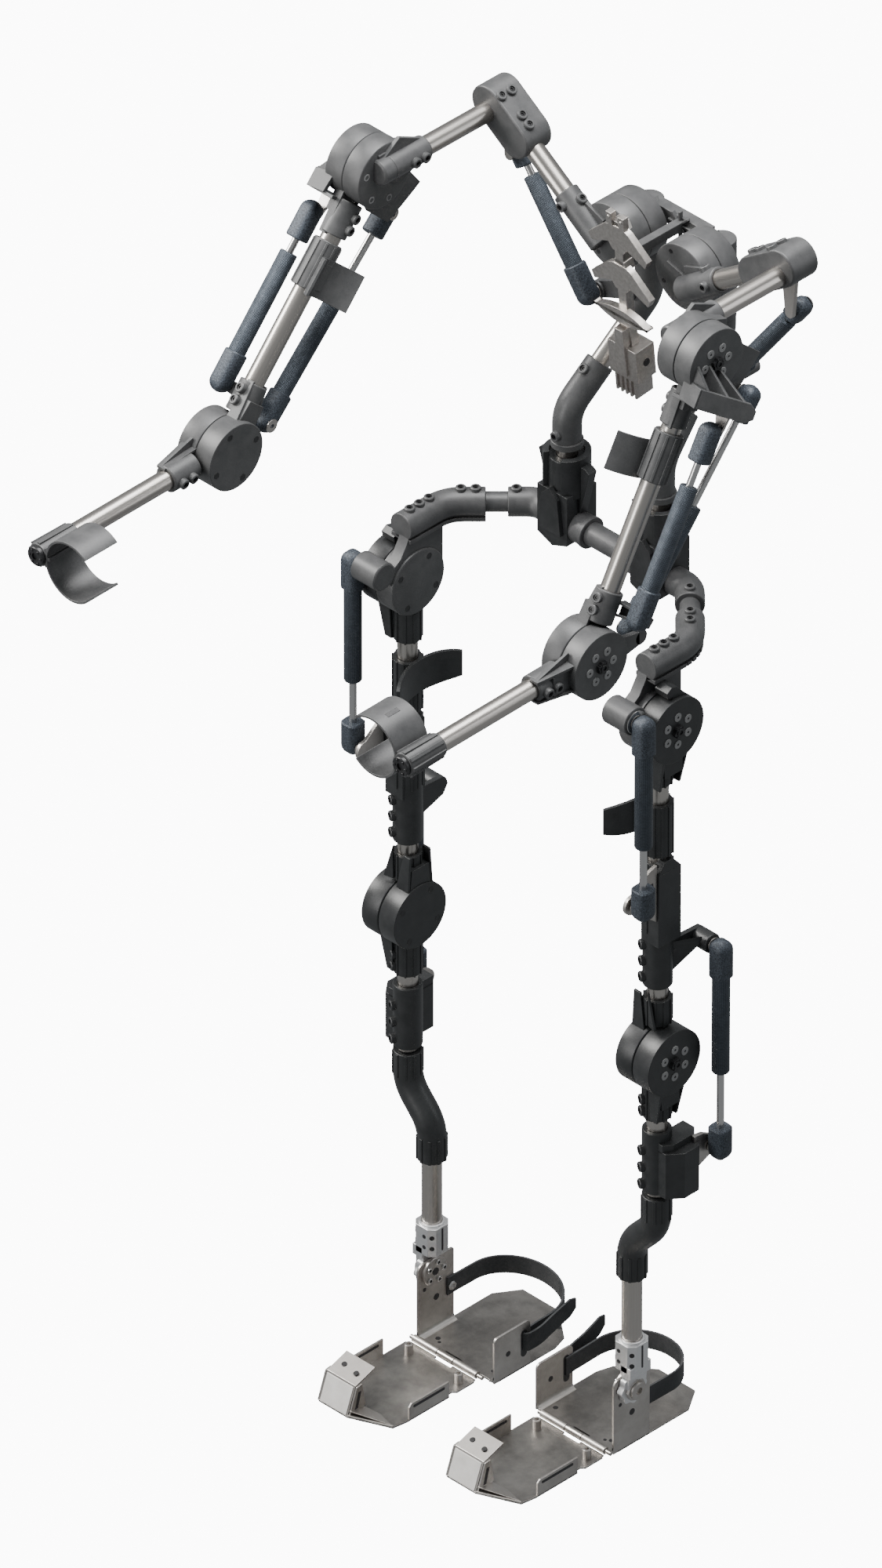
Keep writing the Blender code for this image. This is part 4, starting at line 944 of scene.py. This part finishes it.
def shoulder_link(where):
    tag = where.tag
    z = ABDUCTION.z
    start = Vector((65.4, 167.5, 413.1))
    end = Vector((213.0, 167.5, 516.4))
    way = (end - start).normalized()
    half = disc((ABDUCTION.x, 170.8, z), Y, 24.6)
    sleeve = ring(start - 6 * way, start + 62 * way, 14.6, CLAMP_BORE, 48, 0.9)
    sleeve += rod(start - 5.5 * way, start, 14, 40)
    across = Vector((-way.z, 0, way.x))
    wings = fin([start + a * way + b * across for a, b in ((4, 12), (-14, 34), (-22, 30), (-6, 8))], 4,
                Y)
    for s in (1, -1):
        wings += fin([start + a * way + s * b * across for a, b in ((60, 12), (10, 24), (4, 10))], 4.5,
                     Y)
    wings = moved(wings, Matrix.Translation((0, 2.2, 0)))
    piece("abduction_body", where, GREY, half + sleeve + wings, 0.8, [f"abduction_clamp_{tag}"])
    spots = [(ABDUCTION.x + a, 170.8, z + b) for a, b in around(4, 31, 0.35)]
    # dark hex pits on the hinge face: painted shade in its bolt holes
    pits = []
    for x, y, height in spots:
        pits += rod((x, y + 0.3, height), (x, y - 0.25, height), 3.0, 6, 0.1)
    piece("abduction_bolt_hole_shade", where, DARK, pits, 0)
    bosses("abduction_clamp", where, [(start + 44 * way + 14 * across, across),
                                      (start + 50 * way - Vector((0, 14, 0)), (0, -1, 0))], GREY)
    tube("link_tube", where, start + 8 * way, end, nodes=[f"shoulder_link_{tag}"])
    centre = Vector((198.3, 167.5, 506.1))
    outline = []
    for s in (1, -1):
        for a in range(-90, 91, 10):
            c, t = math.cos(math.radians(a)), math.sin(math.radians(a))
            p = centre + s * (24 + 22 * c) * way + s * 22 * t * across
            outline.append((p.x, p.z))
    piece("corner_block", where, GREY, slab(outline, "y", 150, 188.3), 2.2)
    top = centre + 22 * across
    bosses("corner_block", where, [(top + s * way - Vector((0, 4, 0)), across) for s in (-22, -9)]
           + [(top + 20 * way + Vector((0, y, 0)), across) for y in (-11, 4)], GREY, 4.0)
    bx, bz = 217.5, 510.8
    tube("link_reach_tube", where, (bx, 160, bz), (bx, 44, bz))
    sleeve = ring((bx, 56, bz), (bx, 2, bz), 14.6, CLAMP_BORE, 48, 0.9)
    sleeve += rod((bx, 4, bz), (bx, -14, bz), 14.6, 48, 2)
    drum = disc((SHOULDER.x - 25, SHOULDER.y, SHOULDER.z), X)
    for s in (1, -1):
        sleeve += fin([(bx + 2, 54, bz + s * 13), (bx + 2, 20, bz + s * 30), (bx + 2, -6, bz + s * 12)], 5,
                      X)
    web = slab([(-8, bz - 12), (30, bz - 12), (50, bz - 6), (50, bz + 6), (20, bz + 18), (-8, bz + 18)], "x",
               bx + 2, SHOULDER.x - 6)
    piece("shoulder_inner", where, GREY, sleeve + drum + web, 0.9)
    bosses("shoulder_inner", where, [((bx - 13.6, y, bz), (-1, 0, 0)) for y in (44, 30)], GREY)
    pits = []
    for a, b in ((-20, -22), (6, -31), (-27, 10)):
        y, z = SHOULDER.y + a, SHOULDER.z + b
        pits += ring((SHOULDER.x - 25.2, y, z), (SHOULDER.x - 24, y, z), 4.2, 2.6, 20, 0.2)
    piece("shoulder_inner_bolts", where, WASHER, pits, 0)
    px, pz = STRUT_HEADS["abduction"][::2]
    lug = slab([(px - 13, pz + 60), (px - 6, pz)] + arc((px, pz), 6, 190, 350, 8)
               + [(px + 6, pz), (px + 11, pz + 60)], "y", 174.5, 180)
    piece("abduction_lug", where, EDGE, lug, 0.8)


def upper_arm(where, length):
    tag = where.tag
    drum = disc((0.4, 0, 0), X)
    sleeve = ring((0, 0, -82), (0, 0, -42), SLEEVE_R - 0.6, CLAMP_BORE, 48, 0.9)
    waist = slab([(-15, -28), (15, -28), (13, -60), (-13, -60)], "x", 1.5, 15)
    for y in (-16, 16):
        waist += fin([(0, y, -30), (10, y, -30), (9, y * 0.75, -84), (0, y * 0.75, -84)], 3.5, Y)
    strip = fin([(14, -26, -22), (16, -26, -46), (40, -26, -48), (40, -26, -26)], 6, Y)
    corner_a, corner_b = Vector((38, -25, 0)), Vector((70, 22, 0))
    run = (corner_b - corner_a).normalized()
    out = Vector((run.y, -run.x, 0))
    tip = corner_b + 8 * run
    wall = [p + Vector((0, 0, z)) for p, z in ((corner_a, -26), (corner_b, -26), (tip, -32), (tip, -42),
                                               (corner_b, -48), (corner_a, -48))]
    strip += fin(wall, 6, out)
    for t, reach in ((0.1, 20), (0.5, 12), (0.85, 20)):
        at = corner_a.lerp(corner_b, t)
        strip += fin([(24, at.y - 8, -reach * 0.2), (24, at.y - 4, -36), (at.x, at.y, -36),
                      (at.x + 2, at.y + 1, -26)], 3.6, (0.25, 1, 0))
    floor = slab([(4, -26), (38, -26), (68, 20), (60, 26), (10, 26)], "z", -48, -44)
    rear = slab([(20, -36), (36, -44), (80, -46), (92, -12), (98, 8), (76, 13), (30, 22)], "x", 0.6, 2.8)
    piece("shoulder_outer", where, GREY, drum + sleeve + waist + strip + floor + rear, 0.8,
          [f"shoulder_yoke_{tag}"])
    hub_face("shoulder", where, (25.2, 0, 0), X)
    bosses("shoulder_sleeve", where, [((-14.5, 2, z), (-1, 0.1, 0)) for z in (-56, -70)], GREY)
    lug = slab([(30, -44), (52, -44), (50, -64), (48, -76), (40, -78), (38, -64)], "y", 18.6, 23)
    tube("upper_arm_bar", where, (0, 0, -50), (0, 0, 62 - length), nodes=[f"upper_arm_tube_{tag}"])
    foot_z = 61.3 - length
    piece("arm_stay_lug", where, EDGE, lug, 0.6)
    clamp = ring((0, 0, 78 - length), (0, 0, 41.5 - length), SLEEVE_R - 0.4, CLAMP_BORE, 48, 0.9)
    clamp += slab([(y, z - length) for y, z in ((-15, 28), (15, 28), (13, 60), (-13, 60))], "x", -17, -1.5)
    for y in (-16, 16):
        clamp += fin([(0, y, 28 - length), (-16, y, 28 - length), (-9, y * 0.75, 80 - length),
                      (0, y * 0.75, 80 - length)], 3.5, Y)
    clamp += disc((-0.2, 0, -length), (-1, 0, 0))
    clamp += slab([(8, foot_z - 9), (50, foot_z - 6), (52, foot_z + 6), (8, foot_z + 9)], "y", 18.4, 22.4)
    for s in (-1, 1):
        clamp += fin([(10, 6, foot_z + s * 7), (36, 19, foot_z + s * 4), (10, 19, foot_z + s * 8)], 3, Z)
    piece("elbow_inner", where, GREY, clamp, 0.8)
    bolt_face("elbow", where, (-25, 0, -length), (-1, 0, 0))
    bosses("elbow_clamp", where, [((0, -15, z - length), (0.2, -1, 0)) for z in (68, 54)], GREY)
    clip = ring((0, 0, -146), (0, 0, -90), 16.2, TUBE_R + 0.3, 48, 0.8)
    clip += ribs_round((0, 0, -145), (0, 0, -92), 16, 10, 1.6, 3)
    pad = slab(sector((-60, 0), 47, 3.4, -58, 58, 32), "z", -150, -106)
    piece("arm_cuff_shell", where, GREY, clip + pad + bar((-17, -7, -142), (-12, 7, -112)), 0.9,
          [f"upper_arm_cuff_{tag}"])
    head, low = Vector((44, 6.7, -71)), Vector((44, 6.7, foot_z))
    up = (head - low).normalized()
    piece("stay_foot_cap", where, CAP, cap_block(low, up, Y), 0, [f"arm_stay_{tag}"])
    piece("stay_head_cap", where, CAP, cap_block(head, -up, Y, 34), 0)
    barrel = turned(low + 26 * up, up, [(9, 0), (10, 1), (10, 128), (9.2, 129.4), (4, 129.4), (0, 129.4)], 64)
    piece("stay_barrel", where, KNURL, barrel, 0, anchor=(low, head))
    piece("stay_rod", where, ROD, rod(low + 150 * up, head - 8 * up, 4.2, 32, 0.2), 0, anchor=(low, head))


def forearm(where):
    tag = where.tag
    drum = disc((0.4, 0, 0), X)
    clamp = ring((0, 0, -80), (0, 0, -42), SLEEVE_R - 0.4, CLAMP_BORE, 48, 0.9)
    clamp += slab([(-15, -28), (15, -28), (12, -62), (-12, -62)], "x", 1.5, 16)
    for y in (-16, 16):
        clamp += fin([(0, y, -28), (22, y, -28), (12, y * 0.8, -82), (0, y * 0.8, -82)], 3.2, Y)
        clamp += fin([(8, y * 1.2, -30), (8, y * 1.7, -33), (8, y * 0.9, -80), (8, y * 0.6, -80)], 3.2,
                     X)
    eye = [(0, 0), (8.6, 0), (9, 0.4), (9, 5.6), (8.4, 6.2), (0, 6.2)]
    clamp += turned((12.4, 0, 66.7), X, eye, 40)
    clamp += slab([(-14, 34), (13, 34), (8, 64), (-8, 64)], "x", 12.4, 18.6)
    piece("elbow_outer", where, GREY, drum + clamp, 0.8, [f"forearm_tube_{tag}"])
    hub_face("elbow", where, (25.2, 0, 0), X)
    bosses("forearm_clamp", where, [((where.side * 15, 2, z), (where.side, 0.15, 0)) for z in (-56, -70)],
           GREY)
    tube("forearm_bar", where, (0, 0, -60), (0, 0, -246))
    end = -272.0
    clip = ring((0, 0, end + 2), (0, 0, end + 54), 13.8, TUBE_R - 0.5, 48, 0.8)
    clip += ribs_round((0, 0, end + 3), (0, 0, end + 52), 13.4, 8, 2.6, 4.4, 0.3)
    shell = slab(sector((-47, 0), 37, 3, -132, 132, 56), "z", end + 2, end + 50)
    piece("wrist_shell", where, GREY, clip + shell, 0.9, [f"wrist_cuff_{tag}"])
    if tag == "L":
        wrist_slot(where, end + 26)
    hub = ring((0, 0, end - 3), (0, 0, end + 4), 11.5, 4.5, 48, 0.8)
    for a, b in around(6, 8.2):
        hub += rod((a, b, end - 4), (a, b, end), 1.7, 14, 0.3)
    hub += rod((0, 0, end - 1), (0, 0, end + 4), 4.7, 6, 0.2)
    piece("wrist_hub", where, DARK, hub, 0)


def wrist_slot(where, middle):
    """The strap slot through the top of the wrist shell, drawn as a dark sheet of painted shade."""
    turn = math.radians(-78)
    out = Vector((math.cos(turn), math.sin(turn), 0))
    aside = Vector((-out.y, out.x, 0))
    at = Vector((-47, 0, middle)) + 35.5 * out
    corners = [at + a * aside + Vector((0, 0, b)) for a, b in ((-3, -9), (3, -9), (3, 9), (-3, 9))]
    piece("wrist_slot", where, DARK, fin(corners, 3.5, out), 0.4)


def upper_arm_matrix(tag):
    """The upper arm's own frame: -Z runs down the arm from the shoulder and +Y is to the rear."""
    shoulder = from_hip(f"shoulder_{tag}")
    fall = from_hip(f"elbow_{tag}") - shoulder
    return Matrix.Translation(shoulder) @ Matrix.Rotation(-math.atan2(-fall.y, -fall.z), 4, "X"), fall.length


def arm(tag, side):
    shoulder_link(Place(tag, side, f"link_{tag}"))
    matrix, length = upper_arm_matrix(tag)
    upper_arm(Place(tag, side, f"upper_arm_{tag}", matrix), length)
    turn = Matrix.Rotation(math.radians(-FOREARM_ANGLE), 4, "X")
    forearm(Place(tag, side, f"forearm_{tag}", Matrix.Translation(from_hip(f"elbow_{tag}")) @ turn))


def struts(tag, side):
    where = Place(tag, side, "frame")
    heads = {**STRUT_HEADS, "elbow": upper_arm_matrix(tag)[0] @ Vector((16, 87.5, -36))}
    looks = {"hip": (156, X, 30), "knee": (160, X, 30), "abduction": (142, Y, 18),
             "elbow": (150, X, 30)}
    for name, head in heads.items():
        length, hinge, head_cap = looks[name]
        foot = from_hip(f"{name}_{tag}_swing")
        nodes = (f"{name}_spring_{tag}_cylinder", f"{name}_spring_{tag}_rod")
        strut(f"{name}_strut", where, foot, head, hinge, length, head_cap, nodes,
              (f"{name}_{tag}_strut", f"{name}_{tag}_rod"))


# --- the studio -----------------------------------------------------------------------------------


AMBIENT, SWEEP = 0.3, 14.0
PICTURE, HIP_SPOT, SCALE = (1125, 2000), (677.35, 824.95), 1200.0   # across and down; per metre
ELEVATION = 35.264
LENS, SENSOR = 900.0, 36.0
NEAR, FAR = 1.0, 200.0


def light(name, at, size, power, colour, target):
    data = bpy.data.lights.new(name, "AREA")
    data.shape = "RECTANGLE"
    data.size, data.size_y = size
    data.energy = power
    data.color = colour
    obj = bpy.data.objects.new(name, data)
    bpy.context.scene.collection.objects.link(obj)
    obj.location = at
    obj.rotation_euler = (Vector(target) - Vector(at)).to_track_quat("-Z", "Y").to_euler()


def studio():
    """A white sweep that the camera sees bright. The part is lit mainly from its own upper right."""
    world = bpy.data.worlds.new("studio")
    bpy.context.scene.world = world
    world.use_nodes = True
    tree = world.node_tree
    ambient = tree.nodes["Background"]
    ambient.inputs["Color"].default_value = (0.93, 0.97, 1.0, 1)
    ambient.inputs["Strength"].default_value = AMBIENT
    white = tree.nodes.new("ShaderNodeBackground")
    white.inputs["Strength"].default_value = SWEEP
    path = tree.nodes.new("ShaderNodeLightPath")
    mix = tree.nodes.new("ShaderNodeMixShader")
    tree.links.new(path.outputs["Is Camera Ray"], mix.inputs["Fac"])
    tree.links.new(ambient.outputs[0], mix.inputs[1])
    tree.links.new(white.outputs[0], mix.inputs[2])
    tree.links.new(mix.outputs[0], tree.nodes["World Output"].inputs["Surface"])
    light("key", (-2.6, -1.4, 3.2), (1.6, 1.6), 210, (1, 0.985, 0.96), (0, 0, 0.9))
    light("front", (-0.6, -3.4, 1.6), (1.0, 2.4), 60, (1, 0.99, 0.98), (0, 0, 0.8))
    light("overhead", (0.0, 0.5, 4.0), (1.8, 1.8), 190, (1, 1, 1), (0, 0, 0.8))
    light("edge", (2.8, 2.2, 2.2), (0.4, 2.4), 12, (0.96, 0.98, 1), (0, 0, 0.9))


def camera():
    """A long lens far off, so that the view is all but parallel. HIP_SPOT is where HIP shows in it."""
    view = Vector((1, -1, math.sqrt(2) * math.tan(math.radians(ELEVATION)))).normalized()
    right = Vector((1, 1, 0)).normalized()
    up = view.cross(right).normalized()
    middle = Vector((PICTURE[0] / 2 - HIP_SPOT[0], -(PICTURE[1] / 2 - HIP_SPOT[1])))
    target = HIP * MM + right * (middle.x / SCALE) + up * (middle.y / SCALE)
    data = bpy.data.cameras.new("camera")
    data.lens = LENS
    data.sensor_fit = "VERTICAL"
    data.sensor_height = SENSOR
    data.clip_start, data.clip_end = NEAR, FAR
    obj = bpy.data.objects.new("camera", data)
    bpy.context.scene.collection.objects.link(obj)
    obj.location = target + view * (PICTURE[1] / SCALE * LENS / SENSOR)
    obj.rotation_euler = (-view).to_track_quat("-Z", "Y").to_euler()
    bpy.context.scene.camera = obj


def main():
    camera()
    studio()
    hanger()
    for tag, side in SIDES:
        root = Place(tag, side, "frame")
        back_block(root)
        hip_arm(root)
        riser(root)
        thigh(Place(tag, side, f"thigh_{tag}"))
        shank(Place(tag, side, f"shank_{tag}"))
        foot(Place(tag, side, f"foot_{tag}"))
        arm(tag, side)
        struts(tag, side)


main()
